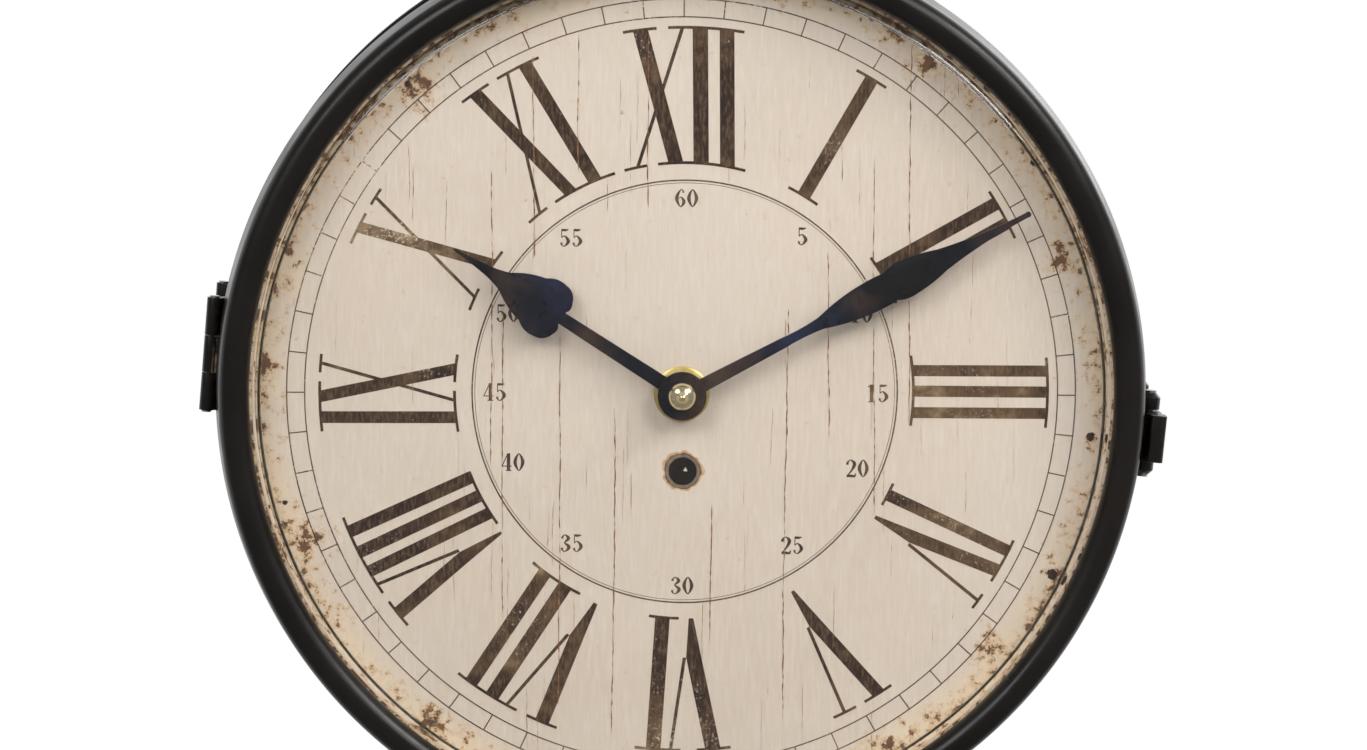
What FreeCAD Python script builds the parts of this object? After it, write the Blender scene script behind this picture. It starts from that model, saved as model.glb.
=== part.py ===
"""Double sided station clock on a wrought iron wall bracket.

A steel band carries a dial on each face. Each dial has its own battery movement, its own pair of hands and
its own hinged bezel with a domed lens. The band hangs from a bracket by a turned stem.

World axes: X away from the wall, -Y out of the front dial, +Z up. The origin is the middle of the wall
plate's back face. Everything that belongs to one face is drawn in dial coordinates, as seen by someone who
looks at that dial: x to the right, y up, z out of the dial from the mid plane between the two dials.
"""

import FreeCAD, Part
import math
import os

import Sketcher

Vector = FreeCAD.Vector
Rotation = FreeCAD.Rotation
Placement = FreeCAD.Placement

X_AXIS = Vector(1, 0, 0)
Y_AXIS = Vector(0, 1, 0)
Z_AXIS = Vector(0, 0, 1)
SIDES = {"front": 0.0, "rear": 180.0}

doc = FreeCAD.newDocument("station_clock")
pieces = []


# ---- driving dimensions, in millimetres and degrees ----

DIMENSIONS = {
    # the clock's place on its bracket
    "arm_reach": 200.0,
    "clock_drop": 165.0,
    # wall plate, arm, scroll, stem and saddle
    "plate_length": 110.0,
    "plate_width": 30.0,
    "plate_thick": 4.0,
    "plate_bolt_spacing": 84.0,
    "plate_bolt_radius": 2.75,
    "arm_rise": 20.0,
    "arm_size": 10.0,
    "arm_overhang": 20.0,
    "finial_radius": 8.0,
    "finial_neck": 3.5,
    "scroll_thick": 4.0,
    "scroll_width": 12.0,
    "scroll_curl_1": 6.0,
    "scroll_curl_2": 9.0,
    "scroll_curl_3": 13.0,
    "scroll_curl_4": 17.5,
    "scroll_run": 95.0,
    "scroll_rivet_radius": 2.0,
    "scroll_rivet_depth": 3.0,
    "scroll_rivet_head": 3.6,
    "stem_radius": 4.0,
    "stem_collar": 7.5,
    "stem_nut_size": 13.0,
    "stem_nut_thick": 5.0,
    "saddle_thick": 3.0,
    "saddle_width": 28.0,
    "saddle_half_angle": 15.0,
    "saddle_boss_radius": 9.5,
    "saddle_boss_rise": 5.0,
    "saddle_screw_angle": 11.0,
    "saddle_screw_radius": 2.0,
    # drum, dials and their seats
    "drum_radius": 127.0,
    "drum_sheet": 1.2,
    "drum_edge": 27.0,
    "dial_face": 23.5,
    "dial_board": 2.0,
    "dial_radius": 125.2,
    "seat_sheet": 1.5,
    "seat_inner": 116.0,
    "dial_screw_circle": 123.3,
    "dial_screw_radius": 1.0,
    "dial_screw_head": 1.8,
    # bezel, lens and retaining ring
    "crown_circle": 124.4,
    "crown_height": 31.8,
    "crown_radius": 4.3,
    "flank_angle": 7.7,
    "flank_length": 9.95,
    "bezel_sheet": 1.0,
    "lens_thick": 2.0,
    "lens_edge": 127.0,
    "shoulder_circle": 116.4,
    "shoulder_radius": 3.0,
    "dome_angle": 81.0,
    "retainer_inner": 121.5,
    "retainer_thick": 2.4,
    # hinge
    "hinge_tilt": 4.5,
    "hinge_circle": 131.9,
    "hinge_height": 20.5,
    "knuckle_radius": 2.0,
    "knuckle_length": 10.5,
    "hinge_half_length": 15.8,
    "hinge_pin_radius": 0.8,
    "hinge_play": 0.06,
    "leaf_sheet": 1.2,
    "case_leaf_low": 6.0,
    "case_leaf_high": 17.5,
    "bezel_leaf_sheet": 0.8,
    "bezel_leaf_low": 22.9,
    "bezel_leaf_high": 27.0,
    # catch
    "catch_tilt": 5.1,
    "catch_half_length": 12.0,
    "catch_pin_circle": 131.6,
    "catch_pin_height": 15.0,
    "catch_pin_radius": 1.25,
    "catch_play": 0.05,
    "ear_radius": 3.0,
    "ear_gap": 7.0,
    "ear_length": 4.6,
    "ear_round": 1.3,
    "catch_base_low": 2.0,
    "catch_base_high": 18.4,
    "lever_half_width": 6.6,
    "lever_reach": 135.6,
    "rivet_radius": 1.1,
    "rivet_head": 1.9,
    "rivet_head_rise": 0.9,
    # movement
    "washer_radius": 7.8,
    "washer_thick": 0.8,
    "rubber_thick": 1.0,
    "rubber_radius": 10.0,
    "case_half": 28.0,
    "case_depth": 15.0,
    "case_wall": 1.5,
    "bay_top": -9.0,
    "lid_thick": 1.2,
    "bush_radius": 4.0,
    "bush_bore": 2.56,
    "bush_top": 26.5,
    "bush_flange": 6.5,
    "nut_size": 11.0,
    "nut_thick": 2.0,
    "tube_radius": 2.5,
    "tube_bore": 1.66,
    "tube_foot": 9.0,
    "tube_top": 28.5,
    "arbor_radius": 1.6,
    "arbor_foot": 7.2,
    "arbor_shoulder": 28.7,
    "arbor_tip": 31.8,
    "arbor_thread": 1.2,
    "arbor_head": 1.4,
    "set_offset": 10.0,
    "cannon_teeth": 12,
    "minute_wheel_teeth": 36,
    "pinion_teeth": 10,
    "hour_wheel_teeth": 40,
    "hour_wheel_thick": 1.2,
    "pinion_low": 8.8,
    "pinion_high": 10.4,
    "set_arbor_top": 12.5,
    "set_pivot_radius": 0.9,
    "set_arbor_radius": 1.5,
    "set_play": 0.06,
    "set_wheel_radius": 8.0,
    "set_wheel_thick": 1.6,
    "set_wheel_low": 2.2,
    "coil_radius": 3.6,
    "coil_cheek": 4.5,
    "coil_length": 15.0,
    "board_thick": 0.8,
    "cell_radius": 7.1,
    "cell_length": 48.5,
    "cell_nub_radius": 2.75,
    "cell_nub_length": 1.4,
    # hands
    "hand_thick": 0.6,
    "hour_hand_height": 27.7,
    "hour_collet_radius": 4.4,
    "hour_collet_drop": 0.8,
    "hour_hand_length": 75.4,
    "hour_boss": 6.0,
    "minute_hand_length": 109.2,
    "minute_boss": 6.8,
    "minute_boss_thick": 1.0,
    "cap_radius": 4.05,
    "cap_rim": 0.9,
    "cap_dome_rise": 2.6,
    "cap_nib_radius": 1.35,
    "cap_nib_rise": 1.7,
}


def fill_sheet():
    """One row for each dimension: its name in column A, its value and alias in column B."""
    sheet = doc.addObject("Spreadsheet::Sheet", "Sizes")
    for row, (name, value) in enumerate(DIMENSIONS.items(), start=1):
        sheet.set(f"A{row}", name)
        sheet.set(f"B{row}", str(value))
        sheet.setAlias(f"B{row}", name)
    doc.recompute()


class Size:
    """A length worked out from the sheet: its number now, and the expression that keeps it bound."""

    def __init__(self, number, text):
        self.number = float(number)
        self.text = text

    def __add__(self, other):
        other = size(other)
        return Size(self.number + other.number, f"({self.text} + {other.text})")

    def __sub__(self, other):
        other = size(other)
        return Size(self.number - other.number, f"({self.text} - {other.text})")

    def __mul__(self, other):
        other = size(other)
        return Size(self.number * other.number, f"({self.text} * {other.text})")

    def __truediv__(self, other):
        other = size(other)
        return Size(self.number / other.number, f"({self.text} / {other.text})")

    def __neg__(self):
        return Size(-self.number, f"(0 - {self.text})")

    __radd__ = __add__


def size(value):
    return value if isinstance(value, Size) else Size(value, f"({float(value):.9f})")


def sine(angle):
    angle = size(angle)
    return Size(math.sin(math.radians(angle.number)), f"sin({angle.text} * 1 deg)")


def cosine(angle):
    angle = size(angle)
    return Size(math.cos(math.radians(angle.number)), f"cos({angle.text} * 1 deg)")


def tangent(angle):
    return sine(angle) / cosine(angle)


class Sheet:
    """Gives each driving dimension by its name, bound to its cell."""

    def __getattr__(self, name):
        return Size(DIMENSIONS[name], f"Sizes.{name}")


fill_sheet()
d = Sheet()


# ---- drawing and feature helpers ----


def arc_centre(start, end, radius, turn):
    """Centre of the arc from start to end that turns left (+1) or right (-1) by less than half a turn."""
    chord = end - start
    half = chord.Length / 2
    height = math.sqrt(max(0.0, radius * radius - half * half))
    left = Vector(-chord.y, chord.x, 0).normalize()
    return (start + end) * 0.5 + left * (turn * height)


def draw(sketch, outline, closed=True):
    """Draws an outline in a sketch and binds each corner and radius to the sheet.

    A corner is (x, y). A corner (x, y, radius, turn) is reached by an arc of that radius.
    """
    corners = [(size(c[0]), size(c[1])) + tuple(c[2:]) for c in outline]
    points = [Vector(c[0].number, c[1].number, 0) for c in corners]
    count = len(corners) if closed else len(corners) - 1
    bindings = []
    constraints = []
    ends = []
    for index in range(count):
        start, end = points[index], points[(index + 1) % len(points)]
        target = corners[(index + 1) % len(corners)]
        if len(target) == 2:
            sketch.addGeometry(Part.LineSegment(start, end), False)
            ends.append((1, 2))
            continue
        radius, turn = size(target[2]), target[3]
        centre = arc_centre(start, end, radius.number, turn)
        first, last = (start, end) if turn > 0 else (end, start)
        angles = [math.atan2(p.y - centre.y, p.x - centre.x) for p in (first, last)]
        circle = Part.Circle(centre, Z_AXIS, radius.number)
        sketch.addGeometry(Part.ArcOfCircle(circle, angles[0], angles[1]), False)
        ends.append((1, 2) if turn > 0 else (2, 1))
        constraints.append(Sketcher.Constraint("Radius", index, radius.number))
        bindings.append((f"radius_{index}", radius.text))
    for index in range(count if closed else count - 1):
        following = (index + 1) % count
        joint = Sketcher.Constraint("Coincident", index, ends[index][1], following, ends[following][0])
        constraints.append(joint)
        bindings.append(None)
    for index in range(len(corners)):
        geometry = min(index, count - 1)
        vertex = ends[geometry][0] if index < count else ends[geometry][1]
        for axis, name in ((0, "DistanceX"), (1, "DistanceY")):
            value = corners[index][axis]
            if abs(value.number) < 1e-9:
                constraints.append(Sketcher.Constraint("PointOnObject", geometry, vertex, axis - 2))
                bindings.append(None)
                continue
            constraints.append(Sketcher.Constraint(name, -1, 1, geometry, vertex, value.number))
            bindings.append((f"corner_{index}_{'xy'[axis]}", value.text))
    sketch.addConstraint(constraints)
    for index, binding in enumerate(bindings):
        if binding:
            sketch.renameConstraint(index, binding[0])
            sketch.setExpression(f"Constraints.{binding[0]}", binding[1])


def new_body(name):
    return doc.addObject("PartDesign::Body", name)


def body_sketch(body, name, plane, outline, offset=None, closed=True):
    """A sketch on one of the body's own origin planes, moved along the plane's normal by offset."""
    sketch = body.newObject("Sketcher::SketchObject", name)
    planes = {feature.Role: feature for feature in body.Origin.OriginFeatures}
    sketch.AttachmentSupport = (planes[plane], "")
    sketch.MapMode = "FlatFace"
    if offset is not None:
        sketch.AttachmentOffset = Placement(Vector(0, 0, offset.number), Rotation())
        sketch.setExpression("AttachmentOffset.Base.z", offset.text)
    draw(sketch, outline, closed)
    return sketch


def revolve(body, name, outline, cut=False):
    """Turns a profile (radius, height) round the dial's axis."""
    sketch = body_sketch(body, f"{name}_profile", "XZ_Plane", outline)
    kind = "PartDesign::Groove" if cut else "PartDesign::Revolution"
    feature = body.newObject(kind, name)
    feature.Profile = sketch
    feature.ReferenceAxis = (sketch, ["V_Axis"])
    feature.Angle = 360.0
    return feature


def pad(body, name, outline, low, high, cut=False, plane="XY_Plane"):
    """Raises an outline, or sinks it as a cut, between two heights along the sketch plane's normal."""
    start = size(high if cut else low)
    sketch = body_sketch(body, f"{name}_outline", plane, outline, start)
    feature = body.newObject("PartDesign::Pocket" if cut else "PartDesign::Pad", name)
    feature.Profile = sketch
    length = size(high) - size(low)
    feature.Length = length.number
    feature.setExpression("Length", length.text)
    return feature


def cylinder(body, name, radius, length, base, axis=Z_AXIS, cut=False):
    """Adds or cuts a cylinder that starts at base (three sizes) and runs along axis."""
    kind = "PartDesign::SubtractiveCylinder" if cut else "PartDesign::AdditiveCylinder"
    feature = body.newObject(kind, name)
    radius, length = size(radius), size(length)
    base = [size(value) for value in base]
    feature.Radius = radius.number
    feature.Height = length.number
    feature.Placement = Placement(Vector(*[b.number for b in base]), Rotation(Z_AXIS, axis))
    feature.setExpression("Radius", radius.text)
    feature.setExpression("Height", length.text)
    for letter, value in zip("xyz", base):
        feature.setExpression(f"Placement.Base.{letter}", value.text)
    return feature


def hexagon(across_flats):
    """Corners of a regular hexagon with two flats square to the x axis."""
    radius = size(across_flats) / math.sqrt(3)
    turns = [math.radians(60 * corner) for corner in range(6)]
    return [(radius * math.sin(turn), radius * math.cos(turn)) for turn in turns]


def rectangle(x0, y0, x1, y1):
    return [(x0, y0), (x1, y0), (x1, y1), (x0, y1)]


def rounded_rectangle(half_x, half_y, radius):
    """A rectangle about the origin with round corners, drawn anticlockwise."""
    x, y, r = size(half_x), size(half_y), size(radius)
    return [
        (-x + r, -y, r, 1),
        (x - r, -y),
        (x, -y + r, r, 1),
        (x, y - r),
        (x - r, y, r, 1),
        (-x + r, y),
        (-x, y - r, r, 1),
        (-x, -y + r),
    ]


def ring_sector(inner, outer, half_angle):
    """A piece of a ring about the origin, from -half_angle to +half_angle round the x axis."""
    c, s = cosine(half_angle), sine(half_angle)
    return [
        (inner * c, -(inner * s), inner, -1),
        (outer * c, -(outer * s)),
        (outer * c, outer * s, outer, 1),
        (inner * c, inner * s),
    ]


def place(piece, side, turn=0.0):
    """Stands dial coordinates upright at the clock's centre, after a turn about the dial's axis."""
    facing = Rotation(Z_AXIS, SIDES[side])
    upright = Rotation(X_AXIS, 90)
    about = Rotation(Z_AXIS, turn)
    centre = Vector(d.arm_reach.number, 0, -d.clock_drop.number)
    piece.Placement = Placement(centre, facing * upright * about)
    piece.setExpression("Placement.Base.x", d.arm_reach.text)
    piece.setExpression("Placement.Base.z", (-d.clock_drop).text)


def finish(piece, label):
    """Names a finished piece. Its label is also its file's name."""
    piece.Label = label
    pieces.append(piece)
    return piece


def solids_group(label, shapes):
    """Identical small pieces that share one name, as separate solids."""
    group = doc.addObject("Part::Feature", label)
    group.Shape = Part.makeCompound(shapes)
    return finish(group, label)


def gather(label, members):
    """Two like pieces, one for each face, that share one name as separate solids."""
    group = doc.addObject("Part::Compound", f"{label}_pair")
    group.Links = members
    return finish(group, label)


def turned(points):
    """A solid turned about the Z axis from (radius, height) points."""
    wire = Part.makePolygon([Vector(r, 0, z) for r, z in points + points[:1]])
    return Part.Face(wire).revolve(Vector(0, 0, 0), Z_AXIS, 360)


def moved(shape, placement):
    copy = shape.copy()
    copy.Placement = placement.multiply(copy.Placement)
    return copy


def dial_frame(side, turn=0.0):
    """Placement of dial coordinates in the world, for shapes made without a body."""
    centre = Vector(d.arm_reach.number, 0, -d.clock_drop.number)
    facing = Rotation(Z_AXIS, SIDES[side]) * Rotation(X_AXIS, 90) * Rotation(Z_AXIS, turn)
    return Placement(centre, facing)


def radial(side, angle, height, radius):
    """Placement whose +Z points out of the drum at an angle round a dial and a height above mid plane."""
    outward = Placement(Vector(radius, 0, height), Rotation(Z_AXIS, X_AXIS))
    return dial_frame(side, angle).multiply(outward)


# ---- the bezel's section, shared by the pieces that seat in it ----

crown_inner_radius = d.crown_radius - d.bezel_sheet
flank_top = (
    d.crown_circle + d.crown_radius * cosine(d.flank_angle),
    d.crown_height + d.crown_radius * sine(d.flank_angle),
)
flank_foot = (
    flank_top[0] + d.flank_length * sine(d.flank_angle),
    flank_top[1] - d.flank_length * cosine(d.flank_angle),
)
inner_top = (
    d.crown_circle + crown_inner_radius * cosine(d.flank_angle),
    d.crown_height + crown_inner_radius * sine(d.flank_angle),
)
inner_foot = (
    inner_top[0] + d.flank_length * sine(d.flank_angle),
    inner_top[1] - d.flank_length * cosine(d.flank_angle),
)


def flank_inside(height):
    """Radius of the flank's inner face at a height."""
    return inner_top[0] + (inner_top[1] - height) * tangent(d.flank_angle)


# ---- bracket ----


def walk(start, heading, steps):
    """Corners of a path of arcs (radius, turn in degrees) and straight runs (length, 0)."""
    x, y = size(start[0]), size(start[1])
    path = [(x, y)]
    for length, turn in steps:
        length = size(length)
        if turn == 0:
            x = x + length * math.cos(math.radians(heading))
            y = y + length * math.sin(math.radians(heading))
            path.append((x, y))
            continue
        side = 1 if turn > 0 else -1
        after = heading + turn
        x = x + length * (side * (math.sin(math.radians(after)) - math.sin(math.radians(heading))))
        y = y - length * (side * (math.cos(math.radians(after)) - math.cos(math.radians(heading))))
        heading = after
        path.append((x, y, length, side))
    return path


def scroll_route():
    """The scroll's middle line: a curl, a long slanting run and a smaller curl, all turned one way."""
    curls = [d.scroll_curl_1, d.scroll_curl_2, d.scroll_curl_3, d.scroll_curl_4]
    slope = 10
    steps = [(curls[0], 90), (curls[1], 90), (curls[2], 90), (curls[3], 90), (curls[3], slope)]
    steps += [(d.scroll_run, 0), (curls[3], 90 - slope), (curls[3], 90)]
    steps += [(curls[2], 90), (curls[1], 90), (curls[0], 90)]
    return walk((0, 0), 0, steps)


scroll_path = scroll_route()
scroll_left, scroll_top = scroll_path[3], scroll_path[8]
scroll_x = d.plate_thick + d.scroll_thick / 2 - scroll_left[0]
scroll_z = d.arm_rise - d.arm_size / 2 - d.scroll_thick / 2 - scroll_top[1]
touch_plate = scroll_left[1] + scroll_z
touch_arm = scroll_top[0] + scroll_x


def make_wall_plate():
    """Flat bar with round ends, two bolt holes, screwed to the wall."""
    body = new_body("wall_plate_body")
    half, top = d.plate_width / 2, d.plate_length / 2
    shoulder = top - half
    outline = [
        (-half, -shoulder, half, -1),
        (-half, shoulder),
        (0, top, half, -1),
        (half, shoulder, half, -1),
        (half, -shoulder),
        (0, -top, half, -1),
    ]
    pad(body, "plate", outline, 0, d.plate_thick, plane="YZ_Plane")
    for name, sign in (("upper", 1), ("lower", -1)):
        height = d.plate_bolt_spacing * (sign * 0.5)
        start = (size(-1), size(0), height)
        cylinder(body, f"{name}_hole", d.plate_bolt_radius, d.plate_thick + 2, start, X_AXIS, cut=True)
    start = (d.plate_thick - d.scroll_rivet_depth, 0, touch_plate)
    cylinder(body, "rivet_hole", d.scroll_rivet_radius, d.plate_thick, start, X_AXIS, cut=True)
    finish(body, "wall_plate")


def make_arm():
    """Square bar, welded to the plate, drilled for the stem."""
    body = new_body("arm_body")
    half = d.arm_size / 2
    outline = [(c[0], c[1] + d.arm_rise) + tuple(c[2:]) for c in rounded_rectangle(half, half, 1.0)]
    pad(body, "bar", outline, d.plate_thick, d.arm_reach + d.arm_overhang, plane="YZ_Plane")
    start = (d.arm_reach, size(0), d.arm_rise - d.arm_size)
    cylinder(body, "stem_hole", d.stem_radius, d.arm_size * 2, start, cut=True)
    start = (touch_arm, 0, d.arm_rise - half - 1.0)
    cylinder(body, "rivet_hole", d.scroll_rivet_radius, d.scroll_rivet_depth + 1.0, start, cut=True)
    finish(body, "bracket_arm")


def make_finial():
    """Turned ball on a short neck at the free end of the arm."""
    body = new_body("finial_body")
    ball, neck = d.finial_radius, d.finial_neck
    reach = cosine(30) * ball
    outline = [
        (0, 0),
        (neck + 1.5, 0),
        (neck + 1.5, 1.5),
        (neck, 3.0),
        (ball * 0.5, size(4.0)),
        (ball, reach + 4.0, ball, 1),
        (0, reach + 4.0 + ball, ball, 1),
    ]
    revolve(body, "ball", outline)
    body.Placement = Placement(Vector(0, 0, 0), Rotation(Z_AXIS, X_AXIS))
    body.setExpression("Placement.Base.x", (d.arm_reach + d.arm_overhang).text)
    body.setExpression("Placement.Base.z", d.arm_rise.text)
    finish(body, "arm_finial")


def make_scroll():
    """Flat bar wrought into an open C scroll with curled ends, riveted to the plate and the arm."""
    body = new_body("scroll_body")
    half = d.scroll_thick / 2
    spine = body_sketch(body, "scroll_path", "XZ_Plane", scroll_path, closed=False)
    width = d.scroll_width / 2
    section = body_sketch(body, "scroll_section", "YZ_Plane", rectangle(-width, -half, width, half))
    sweep = body.newObject("PartDesign::AdditivePipe", "scroll_bar")
    sweep.Profile = section
    sweep.Spine = (spine, [f"Edge{number}" for number in range(1, len(scroll_path))])
    radius, depth = d.scroll_rivet_radius, d.scroll_thick * 2
    start = (scroll_left[0] - d.scroll_thick, 0, scroll_left[1])
    cylinder(body, "plate_rivet_hole", radius, depth, start, X_AXIS, cut=True)
    start = (scroll_top[0], 0, scroll_top[1] - d.scroll_thick)
    cylinder(body, "arm_rivet_hole", radius, depth, start, cut=True)
    body.Placement = Placement(Vector(scroll_x.number, 0, scroll_z.number), Rotation())
    body.setExpression("Placement.Base.x", scroll_x.text)
    body.setExpression("Placement.Base.z", scroll_z.text)
    finish(body, "bracket_scroll")


def make_scroll_rivets():
    """Two rivets that hold the scroll to the plate and to the arm, with heads that bridge the bar's curve."""
    shank, depth, head = d.scroll_rivet_radius.number, d.scroll_rivet_depth.number, d.scroll_rivet_head.number
    inner_face = d.scroll_curl_3.number - d.scroll_thick.number / 2
    grip = d.scroll_thick.number + inner_face - math.sqrt(inner_face**2 - head**2)
    rise = head * 0.65
    rivet = turned(
        [(0, -depth), (shank, -depth), (shank, grip), (head, grip)]
        + [(head * 0.86, grip + rise * 0.6), (head * 0.45, grip + rise * 0.92), (0, grip + rise)]
    )
    on_plate = Placement(Vector(d.plate_thick.number, 0, touch_plate.number), Rotation(Z_AXIS, X_AXIS))
    underside = d.arm_rise.number - d.arm_size.number / 2
    on_arm = Placement(Vector(touch_arm.number, 0, underside), Rotation(X_AXIS, 180))
    solids_group("scroll_rivets", [moved(rivet, on_plate), moved(rivet, on_arm)])


saddle_boss_top = d.drum_radius + d.saddle_boss_rise


def make_stem():
    """Turned rod through the arm, with a collar under the arm and a flange on the saddle."""
    body = new_body("stem_body")
    low = saddle_boss_top - d.clock_drop
    under_arm = d.arm_rise - d.arm_size / 2
    top = d.arm_rise + d.arm_size / 2 + d.stem_nut_thick + 1.5
    collar, rod = d.stem_collar, d.stem_radius
    middle = (low + under_arm) / 2
    outline = [
        (0, low),
        (collar + 1.0, low),
        (collar + 1.0, low + 2.0),
        (rod + 0.5, low + 6.0, 6.0, -1),
        (rod + 0.5, middle - 6.0),
        (collar - 1.0, middle - 3.0),
        (collar - 1.0, middle + 3.0, 4.2, 1),
        (rod + 0.5, middle + 6.0),
        (rod + 0.5, under_arm - 6.0),
        (collar, under_arm - 2.0, 6.0, -1),
        (collar, under_arm),
        (rod, under_arm),
        (rod, top - 0.8),
        (rod - 0.8, top),
        (0, top),
    ]
    revolve(body, "rod", outline)
    body.setExpression("Placement.Base.x", d.arm_reach.text)
    finish(body, "hanger_stem")


def make_stem_nut():
    """Hexagon nut on top of the arm that holds the stem up."""
    body = new_body("stem_nut_body")
    low = d.arm_rise + d.arm_size / 2
    pad(body, "nut", hexagon(d.stem_nut_size), low, low + d.stem_nut_thick)
    cylinder(body, "thread", d.stem_radius, d.stem_nut_thick + 2, (0, 0, low - 1), cut=True)
    body.setExpression("Placement.Base.x", d.arm_reach.text)
    finish(body, "stem_nut")


def make_saddle():
    """Curved strap on top of the drum, with a round boss for the stem's flange."""
    body = new_body("saddle_body")
    outer = d.drum_radius + d.saddle_thick
    half = d.saddle_width / 2
    pad(body, "strap", ring_sector(d.drum_radius, outer, d.saddle_half_angle), -half, half)
    start = (d.drum_radius + 1.0, 0, 0)
    cylinder(body, "boss", d.saddle_boss_radius, d.saddle_boss_rise - 1.0, start, X_AXIS)
    for name, sign in (("left", 1), ("right", -1)):
        angle = d.saddle_screw_angle * sign
        base = (cosine(angle) * 120, sine(angle) * 120, 0)
        axis = Vector(math.cos(math.radians(angle.number)), math.sin(math.radians(angle.number)), 0)
        cylinder(body, f"{name}_hole", d.saddle_screw_radius, 15, base, axis, cut=True)
    place(body, "front", 90)
    finish(body, "hanger_saddle")


def make_saddle_screws():
    """Two pan head screws through the saddle and the drum, each with its nut inside the drum."""
    shank, outer = d.saddle_screw_radius.number, d.drum_radius.number + d.saddle_thick.number
    inner = d.drum_radius.number - d.drum_sheet.number
    angles = [90 + sign * d.saddle_screw_angle.number for sign in (1, -1)]
    head_height = 2.2
    tail = inner - 5.0
    screw = turned(
        [(0, tail), (shank, tail), (shank, outer), (3.8, outer), (3.8, outer + 1.0)]
        + [(2.8, outer + head_height), (0, outer + head_height + 0.3)]
    )
    nut_radius, nut_height = 4.0, 3.2
    nut_low = inner - nut_height - 0.2
    corners = [Vector(nut_radius, 0, nut_low)]
    corners = [Rotation(Z_AXIS, 60 * k).multVec(corners[0]) for k in range(7)]
    nut = Part.Face(Part.makePolygon(corners)).extrude(Vector(0, 0, nut_height))
    nut = nut.cut(Part.makeCylinder(shank, 20, Vector(0, 0, nut_low - 5)))
    solids_group("saddle_screws", [moved(screw, radial("front", a, 0, 0)) for a in angles])
    solids_group("saddle_nuts", [moved(nut, radial("front", a, 0, 0)) for a in angles])


# ---- drum, seats and dials ----

FITTING_TURNS = {
    # angle round its own dial: both faces have the hinge on the wall's side and the catch on the other
    "hinge": {"front": 180.0 - DIMENSIONS["hinge_tilt"], "rear": DIMENSIONS["hinge_tilt"]},
    "catch": {"front": -DIMENSIONS["catch_tilt"], "rear": 180.0 + DIMENSIONS["catch_tilt"]},
}
RIVET_SPOTS = {
    # pairs of rivets: (half the angle between them, height above mid plane)
    "hinge": (4.9, 11.0),
    "catch": (3.9, 6.5),
}


def rivet_places():
    """Every rivet of the hinges and catches: (side, angle round the dial, height)."""
    for side in SIDES:
        for fitting, (half, height) in RIVET_SPOTS.items():
            middle = FITTING_TURNS[fitting][side]
            yield side, middle - half, height
            yield side, middle + half, height


def make_drum():
    """Rolled steel band, open at both faces."""
    body = new_body("drum_body")
    inner = d.drum_radius - d.drum_sheet
    revolve(body, "band", rectangle(inner, -d.drum_edge, d.drum_radius, d.drum_edge))
    for index, (side, angle, height) in enumerate(rivet_places()):
        world_angle = angle if side == "front" else 180 - angle
        depth = height if side == "front" else -height
        drill_drum(body, f"rivet_hole_{index}", d.rivet_radius, world_angle, depth)
    for index, sign in enumerate((1, -1)):
        screw_angle = 90 + sign * d.saddle_screw_angle.number
        drill_drum(body, f"saddle_hole_{index}", d.saddle_screw_radius, screw_angle, 0)
    place(body, "front")
    finish(body, "drum")


def drill_drum(body, name, radius, angle, height):
    """A hole square to the band at an angle round the front dial."""
    along = Vector(math.cos(math.radians(angle)), math.sin(math.radians(angle)), 0)
    start = d.drum_radius - 10
    base = (start * along.x, start * along.y, size(height))
    cylinder(body, name, radius, 20, base, along, cut=True)


def make_rivets():
    """Domed rivets of the hinge leaves and the catch brackets, closed over inside the drum."""
    shank, head, rise = d.rivet_radius.number, d.rivet_head.number, d.rivet_head_rise.number
    outer = d.drum_radius.number + d.leaf_sheet.number
    inner = d.drum_radius.number - d.drum_sheet.number - 0.15
    rivet = turned(
        [(0, inner - 0.6), (head * 0.8, inner - 0.6), (head * 0.8, inner), (shank, inner), (shank, outer)]
        + [(head, outer), (head * 0.85, outer + rise * 0.6), (head * 0.4, outer + rise), (0, outer + rise)]
    )
    shapes = [moved(rivet, radial(side, angle, height, 0)) for side, angle, height in rivet_places()]
    solids_group("fitting_rivets", shapes)


def screw_ring(body, radius, low, depth):
    """Four holes on the dial screws' circle."""
    for index in range(4):
        turn = math.radians(45 + 90 * index)
        base = (d.dial_screw_circle * math.cos(turn), d.dial_screw_circle * math.sin(turn), low)
        cylinder(body, f"screw_hole_{index}", radius, depth, base, cut=True)


def make_dial_parts(side):
    """Seat ring welded inside the band, and the dial board that lies on it."""
    back = d.dial_face - d.dial_board
    seat = new_body(f"dial_seat_{side}_body")
    inner = d.drum_radius - d.drum_sheet
    revolve(seat, "ring", rectangle(d.seat_inner, back - d.seat_sheet, inner, back))
    screw_ring(seat, d.dial_screw_radius, back - 5, 10)
    place(seat, side)
    finish(seat, f"dial_seat_{side}")
    dial = new_body(f"dial_{side}_body")
    revolve(dial, "board", rectangle(d.bush_radius + 0.2, back, d.dial_radius, d.dial_face))
    screw_ring(dial, d.dial_screw_radius + 0.1, back - 5, 10)
    place(dial, side)
    finish(dial, f"dial_{side}")


def make_dial_screws():
    """Four small pan head screws for each dial, hidden under the bezel."""
    shank, head = d.dial_screw_radius.number, d.dial_screw_head.number
    face, back = d.dial_face.number, d.dial_face.number - d.dial_board.number - d.seat_sheet.number
    screw = turned(
        [(0, back - 0.8), (shank, back - 0.8), (shank, face), (head, face), (head, face + 0.5)]
        + [(head * 0.6, face + 1.1), (0, face + 1.2)]
    )
    shapes = []
    for side in SIDES:
        for turn in (45, 135, 225, 315):
            beside = Placement(Vector(d.dial_screw_circle.number, 0, 0), Rotation())
            shapes.append(moved(screw, dial_frame(side, turn).multiply(beside)))
    solids_group("dial_screws", shapes)


# ---- bezel ----


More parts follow.
